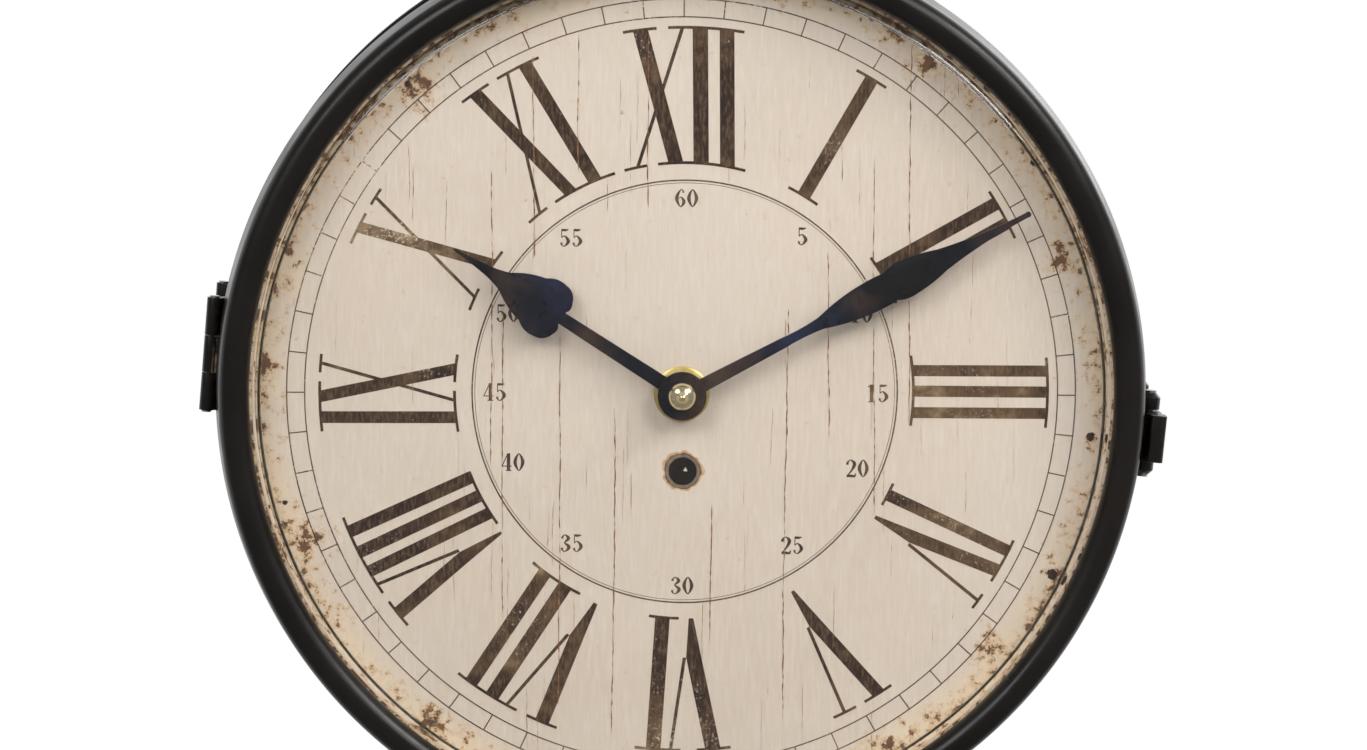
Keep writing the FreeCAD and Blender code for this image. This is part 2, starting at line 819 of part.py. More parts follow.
def make_bezel(side):
    """Spun ring: half-round front with the lens behind its lip, and a side that flares to the rim."""
    body = new_body(f"bezel_ring_{side}_body")
    lip = d.crown_circle - d.crown_radius
    lip_inside = d.crown_circle - crown_inner_radius
    crown_top = d.crown_height + d.crown_radius
    outline = [
        (lip, d.crown_height),
        (d.crown_circle, crown_top, d.crown_radius, -1),
        (flank_top[0], flank_top[1], d.crown_radius, -1),
        flank_foot,
        inner_foot,
        inner_top,
        (d.crown_circle, d.crown_height + crown_inner_radius, crown_inner_radius, 1),
        (lip_inside, d.crown_height, crown_inner_radius, 1),
    ]
    revolve(body, "ring", outline)
    place(body, side)
    finish(body, f"bezel_ring_{side}")


def make_lens(side):
    """Domed clear lens: flat flange behind the lip, tight shoulder, shallow dome."""
    body = new_body(f"lens_{side}_body")
    seat = d.crown_height
    inner_shoulder = d.shoulder_radius - d.lens_thick
    dome_radius = d.shoulder_circle / cosine(d.dome_angle) + d.shoulder_radius
    apex = seat - d.shoulder_circle * tangent(d.dome_angle) + dome_radius
    c, s = cosine(d.dome_angle), sine(d.dome_angle)
    outline = [
        (0, apex - d.lens_thick),
        (d.shoulder_circle + inner_shoulder * c, seat + inner_shoulder * s, dome_radius - d.lens_thick, -1),
        (d.shoulder_circle + inner_shoulder, seat, inner_shoulder, -1),
        (d.shoulder_circle + inner_shoulder, seat - d.lens_thick),
        (d.lens_edge, seat - d.lens_thick),
        (d.lens_edge, seat),
        (d.shoulder_circle + d.shoulder_radius, seat),
        (d.shoulder_circle + d.shoulder_radius * c, seat + d.shoulder_radius * s, d.shoulder_radius, 1),
        (0, apex, dome_radius, 1),
    ]
    revolve(body, "dome", outline)
    place(body, side)
    finish(body, f"lens_{side}")


def make_retainer(side):
    """Flat steel ring snapped into the flank, which holds the lens against the lip."""
    body = new_body(f"lens_retainer_{side}_body")
    top = d.crown_height - d.lens_thick
    low = top - d.retainer_thick
    outline = [
        (d.retainer_inner, low),
        (flank_inside(low), low),
        (flank_inside(top), top),
        (d.retainer_inner, top),
    ]
    revolve(body, "ring", outline)
    place(body, side)
    finish(body, f"lens_retainer_{side}")


# ---- hinge ----



def leaf_half_angle(half_length):
    """Angle round the drum of half a fitting's length."""
    return math.degrees(math.asin(half_length.number / d.drum_radius.number))


def make_case_leaf(side):
    """Fixed leaf on the drum with the two outer knuckles rolled from its front edge."""
    body = new_body(f"hinge_case_leaf_{side}_body")
    outer = d.drum_radius + d.leaf_sheet
    half_angle = leaf_half_angle(d.hinge_half_length)
    pad(body, "leaf", ring_sector(d.drum_radius, outer, half_angle), d.case_leaf_low, d.case_leaf_high)
    x, z = d.hinge_circle, d.hinge_height
    web = [
        (d.drum_radius, d.case_leaf_high - 2.0),
        (outer, d.case_leaf_high - 2.0),
        (x + 0.4, z - d.knuckle_radius + 0.1),
        (x - d.knuckle_radius + 0.1, z + 0.4),
        (d.drum_radius, d.case_leaf_high),
    ]
    for name, sign in (("upper", 1), ("lower", -1)):
        far = d.hinge_half_length
        near = d.hinge_half_length - d.knuckle_length
        low, high = (-far, -near) if sign > 0 else (near, far)
        pad(body, f"{name}_web", web, low, high, plane="XZ_Plane")
        start = (x, near if sign > 0 else -far, z)
        cylinder(body, f"{name}_knuckle", d.knuckle_radius, d.knuckle_length, start, Y_AXIS)
    start = (x, -d.hinge_half_length - 1.0, z)
    cylinder(body, "pin_hole", d.hinge_pin_radius, d.hinge_half_length * 2 + 2.0, start, Y_AXIS, cut=True)
    drill_leaf(body, *RIVET_SPOTS["hinge"])
    place(body, side, FITTING_TURNS["hinge"][side])
    finish(body, f"hinge_case_leaf_{side}")


def drill_leaf(body, half, height):
    """The two rivet holes of a fitting, square to the drum."""
    for name, sign in (("upper", 1), ("lower", -1)):
        along = Vector(math.cos(math.radians(half)), sign * math.sin(math.radians(half)), 0)
        start = d.drum_radius - 5
        base = (start * along.x, start * along.y, size(height))
        cylinder(body, f"{name}_rivet_hole", d.rivet_radius, 10, base, along, cut=True)


def make_bezel_leaf(side):
    """Moving leaf: a conical plate soldered inside the flank, with the middle knuckle behind the rim."""
    half_angle = leaf_half_angle(d.hinge_half_length) * 2
    profile = doc.addObject("Sketcher::SketchObject", f"bezel_leaf_{side}_profile")
    profile.Placement = Placement(Vector(0, 0, 0), Rotation(X_AXIS, 90))
    low, high = d.bezel_leaf_low, d.bezel_leaf_high
    draw(
        profile,
        [
            (flank_inside(low) - d.bezel_leaf_sheet, low),
            (flank_inside(low), low),
            (flank_inside(high), high),
            (flank_inside(high) - d.bezel_leaf_sheet, high),
        ],
    )
    plate = doc.addObject("Part::Revolution", f"bezel_leaf_{side}_plate")
    plate.Source = profile
    plate.Axis = Z_AXIS
    plate.Angle = half_angle
    plate.Symmetric = True
    plate.Solid = True
    half = (d.hinge_half_length - d.knuckle_length) - 0.25
    x, z = d.hinge_circle, d.hinge_height
    inside = flank_inside(low) - d.bezel_leaf_sheet
    strip = leaf_box(f"bezel_leaf_{side}_strip", inside, x - 0.9, half, z + 0.3, z + 1.4)
    riser = leaf_box(f"bezel_leaf_{side}_riser", inside, inside + 0.6, half, z + 0.3, low + 0.8)
    knuckle = leaf_rod(f"bezel_leaf_{side}_knuckle", d.knuckle_radius, half)
    bore = leaf_rod(f"bezel_leaf_{side}_bore", d.hinge_pin_radius + d.hinge_play, half + 1.0)
    joined = doc.addObject("Part::MultiFuse", f"bezel_leaf_{side}_joined")
    joined.Shapes = [plate, strip, riser, knuckle]
    leaf = doc.addObject("Part::Cut", f"bezel_leaf_{side}_cut")
    leaf.Base = joined
    leaf.Tool = bore
    place(leaf, side, FITTING_TURNS["hinge"][side])
    finish(leaf, f"hinge_bezel_leaf_{side}")


def leaf_box(name, x0, x1, half, z0, z1):
    """A box between two radii and two heights, half its length each way along the hinge."""
    box = doc.addObject("Part::Box", name)
    for field, value in (("Length", x1 - x0), ("Width", half * 2), ("Height", z1 - z0)):
        setattr(box, field, value.number)
        box.setExpression(field, value.text)
    for letter, value in (("x", x0), ("y", -half), ("z", z0)):
        box.setExpression(f"Placement.Base.{letter}", value.text)
    return box


def leaf_rod(name, radius, half):
    """A cylinder round the hinge's axis."""
    rod = doc.addObject("Part::Cylinder", name)
    rod.Placement = Placement(Vector(0, 0, 0), Rotation(Z_AXIS, Y_AXIS))
    for field, value in (("Radius", radius), ("Height", half * 2)):
        setattr(rod, field, value.number)
        rod.setExpression(field, value.text)
    for letter, value in (("x", d.hinge_circle), ("y", -half), ("z", d.hinge_height)):
        rod.setExpression(f"Placement.Base.{letter}", value.text)
    return rod


def pin_shape(radius, half_length, head_radius, head_thick):
    """A plain pin along Y with a low head at each end."""
    r, h, low = radius.number, half_length.number, head_radius
    points = [(0, -h - head_thick), (low, -h - head_thick), (low, -h), (r, -h), (r, h)]
    points += [(low, h), (low, h + head_thick), (0, h + head_thick)]
    return moved(turned(points), Placement(Vector(0, 0, 0), Rotation(Z_AXIS, Y_AXIS)))


def make_pins():
    """Hinge pins and catch pins of both sides."""
    hinge_pin = pin_shape(d.hinge_pin_radius, d.hinge_half_length, 1.4, 0.5)
    catch_pin = pin_shape(d.catch_pin_radius, d.ear_gap + d.ear_length, 1.7, 0.6)
    for fitting, pin, x, z in (
        ("hinge", hinge_pin, d.hinge_circle, d.hinge_height),
        ("catch", catch_pin, d.catch_pin_circle, d.catch_pin_height),
    ):
        at_axis = Placement(Vector(x.number, 0, z.number), Rotation())
        turns = FITTING_TURNS[fitting]
        placements = [dial_frame(side, turns[side]).multiply(at_axis) for side in SIDES]
        solids_group(f"{fitting}_pins", [moved(pin, placement) for placement in placements])


# ---- catch ----


def make_catch_bracket(side):
    """Base plate riveted to the drum, with two round ears that carry the lever's pin."""
    body = new_body(f"catch_bracket_{side}_body")
    outer = d.drum_radius + d.leaf_sheet
    half_angle = leaf_half_angle(d.catch_half_length)
    pad(body, "base", ring_sector(d.drum_radius, outer, half_angle), d.catch_base_low, d.catch_base_high)
    x, z, r = d.catch_pin_circle, d.catch_pin_height, d.ear_radius
    web = rectangle(d.drum_radius, z - r + 0.2, x, z + r - 0.2)
    near, far = d.ear_gap, d.ear_gap + d.ear_length
    for name, sign in (("upper", 1), ("lower", -1)):
        low, high = (-far + d.ear_round, -near) if sign > 0 else (near, far - d.ear_round)
        pad(body, f"{name}_web", web, low, high, plane="XZ_Plane")
        start = (x, near if sign > 0 else -far + d.ear_round, z)
        cylinder(body, f"{name}_ear", r, d.ear_length - d.ear_round, start, Y_AXIS)
        cap = body.newObject("PartDesign::AdditiveCone", f"{name}_cap")
        cap.Radius1, cap.Radius2, cap.Height = r.number, r.number - 1.2, d.ear_round.number
        cap.setExpression("Radius1", r.text)
        cap.setExpression("Radius2", (r - 1.2).text)
        cap.setExpression("Height", d.ear_round.text)
        tip = (far - d.ear_round) * sign
        cap.Placement = Placement(Vector(x.number, tip.number, z.number), Rotation(Z_AXIS, Y_AXIS * sign))
    start = (x, -far - 1.0, z)
    cylinder(body, "pin_hole", d.catch_pin_radius, far * 2 + 2.0, start, Y_AXIS, cut=True)
    drill_leaf(body, *RIVET_SPOTS["catch"])
    place(body, side, FITTING_TURNS["catch"][side])
    finish(body, f"catch_bracket_{side}")


def make_catch_lever(side):
    """Cam lever: a hub on the pin, a nose that bears on the bezel's side, and a rolled finger lip."""
    body = new_body(f"catch_lever_{side}_body")
    x, z, r = d.catch_pin_circle, d.catch_pin_height, d.ear_radius
    half = d.lever_half_width
    rim = flank_foot[0] + 0.3
    reach = d.lever_reach
    outline = [
        (x - r, z),
        (x, z - r, r, 1),
        (x + r, z, r, 1),
        (x + r + 0.3, z + 4.0),
        (reach - 1.2, z + 7.5, 5.0, -1),
        (reach, z + 8.7, 1.2, 1),
        (reach, z + 12.0),
        (reach - 1.5, z + 13.5, 1.5, 1),
        (rim + 1.6, z + 13.5),
        (rim + 0.8, z + 12.7, 0.8, 1),
        (rim + 0.8, z + 10.2),
        (rim, z + 9.2),
        (rim, z + 7.0),
        (rim + 0.6, z + 5.0),
        (x - r + 0.5, z + 2.6),
    ]
    pad(body, "lever", outline, -half, half, plane="XZ_Plane")
    start = (x, -half - 1.0, z)
    cylinder(body, "pin_bore", d.catch_pin_radius + d.catch_play, half * 2 + 2.0, start, Y_AXIS, cut=True)
    place(body, side, FITTING_TURNS["catch"][side])
    finish(body, f"catch_lever_{side}")


# ---- movement ----

case_front = d.dial_face - d.dial_board - d.rubber_thick
case_back = case_front - d.case_depth


def make_movement_case(side):
    """Moulded box: one cavity for the works, closed by a lid, and an open bay for the cell."""
    body = new_body(f"movement_case_{side}_body")
    pad(body, "box", rounded_rectangle(d.case_half, d.case_half, 3.0), case_back, case_front)
    inside = d.case_half - d.case_wall
    floor = case_front - d.case_wall
    works = rectangle(-inside, d.bay_top, inside, inside)
    pad(body, "works_cavity", works, case_back, floor, cut=True)
    bay = rectangle(-inside, -inside, inside, d.bay_top - d.case_wall)
    pad(body, "cell_bay", bay, case_back, case_front - 0.5, cut=True)
    start = (0, 0, case_back)
    cylinder(body, "bush_hole", d.bush_radius, d.case_depth + 2, start, cut=True)
    place(body, side)
    finish(body, f"movement_case_{side}")


def make_movement_lid(side):
    """Flat lid over the works, with a hole for the setting arbor."""
    body = new_body(f"movement_lid_{side}_body")
    low = case_back - d.lid_thick
    outline = rectangle(-d.case_half, d.bay_top - d.case_wall, d.case_half, d.case_half)
    pad(body, "plate", outline, low, case_back)
    start = (0, d.set_offset, low - 1)
    cylinder(body, "arbor_hole", d.set_arbor_radius + d.set_play, d.lid_thick + 2, start, cut=True)
    place(body, side)
    finish(body, f"movement_lid_{side}")


def make_bush(side):
    """Brass bush through the dial, with a flange inside the movement's case."""
    body = new_body(f"bush_{side}_body")
    floor = case_front - d.case_wall
    outline = [
        (d.bush_bore, floor - 1.2),
        (d.bush_flange, floor - 1.2),
        (d.bush_flange, floor),
        (d.bush_radius, floor),
        (d.bush_radius, d.bush_top - 0.4),
        (d.bush_radius - 0.4, d.bush_top),
        (d.bush_bore, d.bush_top),
    ]
    revolve(body, "bush", outline)
    place(body, side)
    finish(body, f"bush_{side}")


def make_hub_stacks():
    """Rubber washer behind each dial, brass washer and hexagon nut in front of it."""
    rubbers, washers, nuts = [], [], []
    back, top = d.dial_face - d.dial_board, d.dial_face + d.washer_thick
    for side in SIDES:
        rubber = new_body(f"rubber_washer_{side}")
        revolve(rubber, "rubber", rectangle(d.bush_radius, back - d.rubber_thick, d.rubber_radius, back))
        rubbers.append(rubber)
        washer = new_body(f"dial_washer_{side}")
        outline = [
            (d.bush_radius, d.dial_face),
            (d.washer_radius, d.dial_face),
            (d.washer_radius, top - 0.3),
            (d.washer_radius - 0.5, top),
            (d.bush_radius, top),
        ]
        revolve(washer, "washer", outline)
        washers.append(washer)
        nut = new_body(f"bush_nut_{side}")
        pad(nut, "bush_nut", hexagon(d.nut_size), top, top + d.nut_thick)
        cylinder(nut, "bush_thread", d.bush_radius, d.nut_thick + 2, (0, 0, top - 1), cut=True)
        nuts.append(nut)
        for body in (rubber, washer, nut):
            place(body, side)
    gather("rubber_washers", rubbers)
    gather("dial_washers", washers)
    gather("bush_nuts", nuts)


def make_works():
    """In each movement, against the case's floor: the motor's coil on its core, and the circuit board."""
    floor = case_front - d.case_wall
    coils, boards = [], []
    for side in SIDES:
        coil = new_body(f"coil_{side}")
        cheek, wire, half = d.coil_cheek, d.coil_radius, d.coil_length / 2
        outline = [
            (0, -half - 3.0),
            (1.2, -half - 3.0),
            (1.2, -half - 1.0),
            (cheek, -half - 1.0),
            (cheek, -half),
            (wire, -half),
            (wire, half),
            (cheek, half),
            (cheek, half + 1.0),
            (1.2, half + 1.0),
            (1.2, half + 3.0),
            (0, half + 3.0),
        ]
        revolve(coil, "winding", outline)
        across = Placement(Vector(18.5, 8.0, (floor - cheek).number), Rotation(Z_AXIS, Y_AXIS))
        coil.Placement = dial_frame(side).multiply(across)
        coils.append(coil)
        board = new_body(f"board_{side}")
        outline = [(-25.5, -7.5), (-13.0, -7.5), (-13.0, 4.0), (-11.0, 6.0), (-11.0, 25.5), (-25.5, 25.5)]
        pad(board, "laminate", outline, floor - d.board_thick, floor)
        place(board, side)
        boards.append(board)
    gather("motor_coils", coils)
    gather("circuit_boards", boards)


first_module = d.set_offset * 2 / (d.cannon_teeth + d.minute_wheel_teeth)
second_module = d.set_offset * 2 / (d.pinion_teeth + d.hour_wheel_teeth)
tooth_root = 1.15
tooth_tip = 0.85
root_half_width = 0.92
tip_half_width = 0.36


def root_radius(module, teeth):
    """Radius of a gear's body at the bottom of its teeth."""
    return module * (teeth / 2 - tooth_root)


def add_teeth(body, name, module, teeth, low, high, first_angle):
    """Teeth round a gear's body: one tapered tooth at first_angle, repeated round the axis."""
    foot = root_radius(module, teeth) - module * 0.4
    tip = module * (teeth / 2 + tooth_tip)
    c, s = cosine(first_angle), sine(first_angle)
    corners = [
        (foot, -(module * root_half_width)),
        (tip, -(module * tip_half_width)),
        (tip, module * tip_half_width),
        (foot, module * root_half_width),
    ]
    outline = [(x * c - y * s, x * s + y * c) for x, y in corners]
    tooth = pad(body, f"{name}_tooth", outline, low, high)
    teeth_round = body.newObject("PartDesign::PolarPattern", name)
    teeth_round.Originals = [tooth]
    teeth_round.Axis = (tooth.Profile[0], ["N_Axis"])
    teeth_round.Angle = 360
    teeth_round.setExpression("Occurrences", teeth.text)
    body.Tip = teeth_round


def make_hour_tube(side, turn):
    """Hour tube with its toothed wheel, which the pinion of the setting arbor drives."""
    tube = new_body(f"hour_tube_{side}_body")
    low, high = d.tube_foot, d.tube_foot + d.hour_wheel_thick
    rim = root_radius(second_module, d.hour_wheel_teeth)
    outline = [
        (d.tube_bore, low),
        (rim, low),
        (rim, high),
        (d.tube_radius + 1.0, high),
        (d.tube_radius + 1.0, high + 1.8),
        (d.tube_radius, high + 1.8),
        (d.tube_radius, d.tube_top),
        (d.tube_bore, d.tube_top),
    ]
    revolve(tube, "tube", outline)
    add_teeth(tube, "hour_wheel", second_module, d.hour_wheel_teeth, low, high, 90 - turn)
    place(tube, side, turn)
    finish(tube, f"hour_tube_{side}")


def make_minute_arbor(side, turn):
    """Minute arbor with its cannon pinion, and a thinner threaded end for the cap nut."""
    arbor = new_body(f"minute_arbor_{side}_body")
    low, high = d.arbor_foot, d.arbor_foot + d.arbor_head
    rim = root_radius(first_module, d.cannon_teeth)
    outline = [
        (0, low),
        (rim, low),
        (rim, high),
        (d.arbor_radius, high),
        (d.arbor_radius, d.arbor_shoulder),
        (d.arbor_thread, d.arbor_shoulder),
        (d.arbor_thread, d.arbor_tip),
        (0, d.arbor_tip),
    ]
    revolve(arbor, "arbor", outline)
    add_teeth(arbor, "cannon_pinion", first_module, d.cannon_teeth, low, high, 90 - turn)
    place(arbor, side, turn)
    finish(arbor, f"minute_arbor_{side}")


def make_set_wheel(side):
    """Thumb wheel behind the lid, on one arbor with the minute wheel and the hour wheel's pinion."""
    knob = new_body(f"set_wheel_{side}_body")
    low, high = d.set_wheel_low, d.set_wheel_low + d.set_wheel_thick
    wheel_low, wheel_high = d.arbor_foot, d.arbor_foot + d.arbor_head
    wheel_rim = root_radius(first_module, d.minute_wheel_teeth)
    pinion_rim = root_radius(second_module, d.pinion_teeth)
    outline = [
        (0, low),
        (d.set_wheel_radius, low),
        (d.set_wheel_radius, high),
        (d.set_arbor_radius + 1.0, high),
        (d.set_arbor_radius, high + 0.4),
        (d.set_arbor_radius, wheel_low),
        (wheel_rim, wheel_low),
        (wheel_rim, wheel_high),
        (pinion_rim, wheel_high),
        (pinion_rim, d.pinion_high),
        (d.set_pivot_radius, d.pinion_high),
        (d.set_pivot_radius, d.set_arbor_top),
        (0, d.set_arbor_top),
    ]
    revolve(knob, "wheel", outline)
    notch_count = 18
    for index in range(notch_count):
        turn = math.radians(360 / notch_count * index)
        base = (d.set_wheel_radius * math.cos(turn), d.set_wheel_radius * math.sin(turn), low - 1)
        cylinder(knob, f"notch_{index}", 0.6, d.set_wheel_thick + 2, base, cut=True)
    half_pitch = size(180) / d.minute_wheel_teeth
    teeth = d.minute_wheel_teeth
    add_teeth(knob, "minute_wheel", first_module, teeth, wheel_low, wheel_high, half_pitch - 90)
    half_pitch = size(180) / d.pinion_teeth
    add_teeth(knob, "pinion", second_module, d.pinion_teeth, d.pinion_low, d.pinion_high, half_pitch - 90)
    place(knob, side)
    shift_up(knob, side)
    finish(knob, f"set_wheel_{side}")


def shift_up(piece, side):
    """Moves a piece from the dial's axis to the setting arbor's."""
    height = d.set_offset - d.clock_drop
    piece.setExpression("Placement.Base.z", height.text)


def make_cell(side):
    """AA cell lying in the bay."""
    low = case_back + d.cell_radius + 0.3
    height = d.bay_top - d.case_wall - d.cell_radius - 0.4
    half = d.cell_length / 2
    body = new_body(f"battery_{side}_body")
    r, nub = d.cell_radius, d.cell_nub_radius
    outline = [
        (0, -half),
        (r - 1.0, -half),
        (r, -half + 1.0),
        (r, half - 1.0),
        (r - 1.0, half),
        (nub, half),
        (nub, half + d.cell_nub_length),
        (0, half + d.cell_nub_length),
    ]
    revolve(body, "cell", outline)
    inner = Placement(Vector(0, height.number, low.number), Rotation(Z_AXIS, X_AXIS))
    body.Placement = dial_frame(side).multiply(inner)
    finish(body, f"battery_{side}")


def make_contacts():
    """At each cell's button a strip with a raised bump, at its flat end a folded spring strip."""
    low = case_back.number + d.cell_radius.number + 0.3
    height = d.bay_top.number - d.case_wall.number - d.cell_radius.number - 0.4
    wall = d.case_half.number - d.case_wall.number
    flat_end = d.cell_length.number / 2
    button = flat_end + d.cell_nub_length.number
    sheet, width = 0.35, 8.0
    bump = [(wall, -5), (wall, 5), (wall - sheet, 5), (wall - sheet, 2), (button, 1.2), (button, -1.2)]
    bump += [(wall - sheet, -2), (wall - sheet, -5)]
    touch = -flat_end
    spring = [(-wall, -5), (-wall, 5), (sheet - wall, 5), (touch, 0.5), (touch, -2), (touch - 1, -4)]
    spring += [(touch - 1 - sheet, -4), (touch - sheet, -2), (touch - sheet, 0), (sheet - wall, 3.6)]
    spring += [(sheet - wall, -5)]
    strips = []
    for points in (bump, spring):
        outline = [Vector(x, height - width / 2, low + z) for x, z in points]
        strips.append(Part.Face(Part.makePolygon(outline + outline[:1])).extrude(Vector(0, width, 0)))
    shapes = [moved(strip, dial_frame(side)) for side in SIDES for strip in strips]
    solids_group("battery_contacts", shapes)


# ---- hands ----

HAND_TURNS = {"minute": -61.9, "hour": 57.3}


def mirrored(right_side, tip):
    """A closed outline from its right half, drawn from the hub to the tip, and its mirror image."""
    left_side = []
    steps = list(reversed(right_side))
    for index, corner in enumerate(steps):
        reached_by = right_side[len(steps) - index][2:] if index else tip[2:]
        left_side.append((-size(corner[0]), corner[1]) + tuple(reached_by))
    return right_side + [tip] + left_side


def make_minute_hand(side):
    """Pressed steel: round boss, tapering rod, long spear point."""
    body = new_body(f"minute_hand_{side}_body")
    tip = d.minute_hand_length
    low, high = d.arbor_shoulder, d.arbor_shoulder + d.hand_thick
    right = [
        (2.05, 0),
        (1.48, tip * 0.29),
        (1.75, tip * 0.40, 60.0, -1),
        (4.3, tip * 0.600, 60.0, 1),
        (5.15, tip * 0.648, 9.0, 1),
        (3.2, tip * 0.745, 45.0, 1),
        (0.72, tip * 0.990, 150.0, -1),
    ]
    pad(body, "blade", mirrored(right, (0, tip, 0.75, 1)), low, high)
    cylinder(body, "boss", d.minute_boss, d.minute_boss_thick, (0, 0, low))
    cylinder(body, "bore", d.arbor_thread, d.minute_boss_thick + 2, (0, 0, low - 1), cut=True)
    place(body, side, HAND_TURNS["minute"])
    finish(body, f"minute_hand_{side}")


def make_hour_hand(side):
    """Pressed steel: boss with a collet that grips the hour tube, rod, spade point."""
    body = new_body(f"hour_hand_{side}_body")
    tip = d.hour_hand_length
    low, high = d.hour_hand_height, d.hour_hand_height + d.hand_thick
    right = [
        (2.1, 0),
        (1.75, tip * 0.527),
        (2.6, tip * 0.520, 1.2, -1),
        (5.2, tip * 0.525, 3.4, 1),
        (8.35, tip * 0.578, 4.3, 1),
        (7.0, tip * 0.655, 6.5, 1),
        (3.0, tip * 0.775, 24.0, 1),
        (1.2, tip * 0.880, 26.0, -1),
        (0.45, tip * 0.994, 90.0, -1),
    ]
    pad(body, "blade", mirrored(right, (0, tip, 0.6, 1)), low, high)
    cylinder(body, "boss", d.hour_boss, d.hand_thick, (0, 0, low))
    cylinder(body, "collet", d.hour_collet_radius, d.hour_collet_drop, (0, 0, low - d.hour_collet_drop))
    cylinder(body, "bore", d.tube_radius, 6, (0, 0, low - 3), cut=True)
    place(body, side, HAND_TURNS["hour"])
    finish(body, f"hour_hand_{side}")


def make_cap_nut(side):
    """Brass cap nut: short rim, low dome and a small round nib, threaded on the minute arbor."""
    body = new_body(f"cap_nut_{side}_body")
    low = d.arbor_shoulder + d.minute_boss_thick
    r, nib = d.cap_radius, d.cap_nib_radius
    rim_top = low + d.cap_rim
    dome_top = rim_top + d.cap_dome_rise
    tip_rise = d.cap_nib_rise - 0.5
    tip_radius = (nib * nib + tip_rise * tip_rise) / (tip_rise * 2)
    outline = [
        (d.arbor_thread, low),
        (r, low),
        (r, rim_top),
        (nib + 0.9, dome_top - 0.3, 3.6, 1),
        (nib + 0.2, dome_top + 0.1, 0.9, -1),
        (nib, dome_top + 0.5),
        (0, dome_top + d.cap_nib_rise, tip_radius, 1),
        (0, d.arbor_tip + 0.2),
        (d.arbor_thread, d.arbor_tip + 0.2),
    ]
    revolve(body, "nut", outline)
    place(body, side, HAND_TURNS["minute"])
    finish(body, f"cap_nut_{side}")


# ---- assembly ----


def build():
    make_wall_plate()
    make_arm()
    make_finial()
    make_scroll()
    make_scroll_rivets()
    make_stem()
    make_stem_nut()
    make_saddle()
    make_saddle_screws()
    make_drum()
    make_rivets()
    make_dial_screws()
    make_pins()
    make_contacts()
    make_hub_stacks()
    make_works()
    for side in SIDES:
        make_dial_parts(side)
        make_bezel(side)
        make_lens(side)
        make_retainer(side)
        make_case_leaf(side)
        make_bezel_leaf(side)
        make_catch_bracket(side)
        make_catch_lever(side)
        make_movement_case(side)
        make_movement_lid(side)
        make_bush(side)
        make_hour_tube(side, HAND_TURNS["hour"])
        make_minute_arbor(side, HAND_TURNS["minute"])
        make_set_wheel(side)
        make_cell(side)
        make_hour_hand(side)
        make_minute_hand(side)
        make_cap_nut(side)


def check():
    """Stops the build if a feature failed, or if a piece is not a sound solid or group of solids."""
    doc.recompute()
    for item in doc.Objects:
        if "Invalid" in item.State or "Error" in item.State:
            raise RuntimeError(f"{item.Name} failed: {item.State}")
    for piece in pieces:
        shape = piece.Shape
        if shape.isNull() or not shape.isValid() or not shape.Solids:
            raise RuntimeError(f"{piece.Label} has no sound solid")


def export():
    os.makedirs("parts", exist_ok=True)
    for piece in pieces:
        piece.Shape.exportStep(f"parts/{piece.Label}.step")


build()
check()
export()
print(len(pieces), "pieces")
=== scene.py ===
import math
import random

import bmesh
import bpy
from mathutils import Matrix, Vector


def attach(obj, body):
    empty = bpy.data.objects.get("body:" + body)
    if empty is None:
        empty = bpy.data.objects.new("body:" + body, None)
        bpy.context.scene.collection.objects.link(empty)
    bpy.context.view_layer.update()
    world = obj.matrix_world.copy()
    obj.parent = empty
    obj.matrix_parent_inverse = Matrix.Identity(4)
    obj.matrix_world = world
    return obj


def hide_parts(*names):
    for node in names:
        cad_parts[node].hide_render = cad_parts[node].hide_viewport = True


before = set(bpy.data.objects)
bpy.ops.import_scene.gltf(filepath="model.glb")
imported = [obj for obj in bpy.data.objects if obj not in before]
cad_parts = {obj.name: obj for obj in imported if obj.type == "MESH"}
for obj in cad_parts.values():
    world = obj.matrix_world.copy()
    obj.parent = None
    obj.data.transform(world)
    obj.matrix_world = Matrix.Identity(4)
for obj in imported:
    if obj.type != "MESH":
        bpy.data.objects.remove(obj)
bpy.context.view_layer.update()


# ---- the room: floor, daylight and camera ----
# A pale floor well below the hanging clock, a bright even room, a small key lamp high on the right, a soft
# box on either side of the camera and one behind, and a camera a little above and to the left of the dial.

clock_centre = Vector((0.200, 0.0, -0.165))
dial_face = 0.0235
camera_azimuth = math.radians(-1.30)
camera_elevation = math.radians(6.85)
camera_roll = math.radians(-0.38)
camera_distance = 1.502
camera_lens = 141.66
camera_shift = (0.0014, 0.0135)
floor_height = -0.62
floor_size = 14.0
floor_paint = (0.86, 0.86, 0.86, 1)
floor_glow = 1.03
floor_share = 0.92
room_light = 0.82
gloss_light = 0.2
gloss_fade = 0.3


def soft_lamp(name, place, target, size, power, tint):
    """A square soft box that faces a point."""
    light = bpy.data.lights.new(name, "AREA")
    light.shape = "RECTANGLE"
    light.size, light.size_y = size
    light.energy = power
    light.color = tint
    lamp = bpy.data.objects.new(name, light)
    bpy.context.scene.collection.objects.link(lamp)
    lamp.location = place
    lamp.rotation_euler = (Vector(target) - Vector(place)).to_track_quat("-Z", "Y").to_euler()


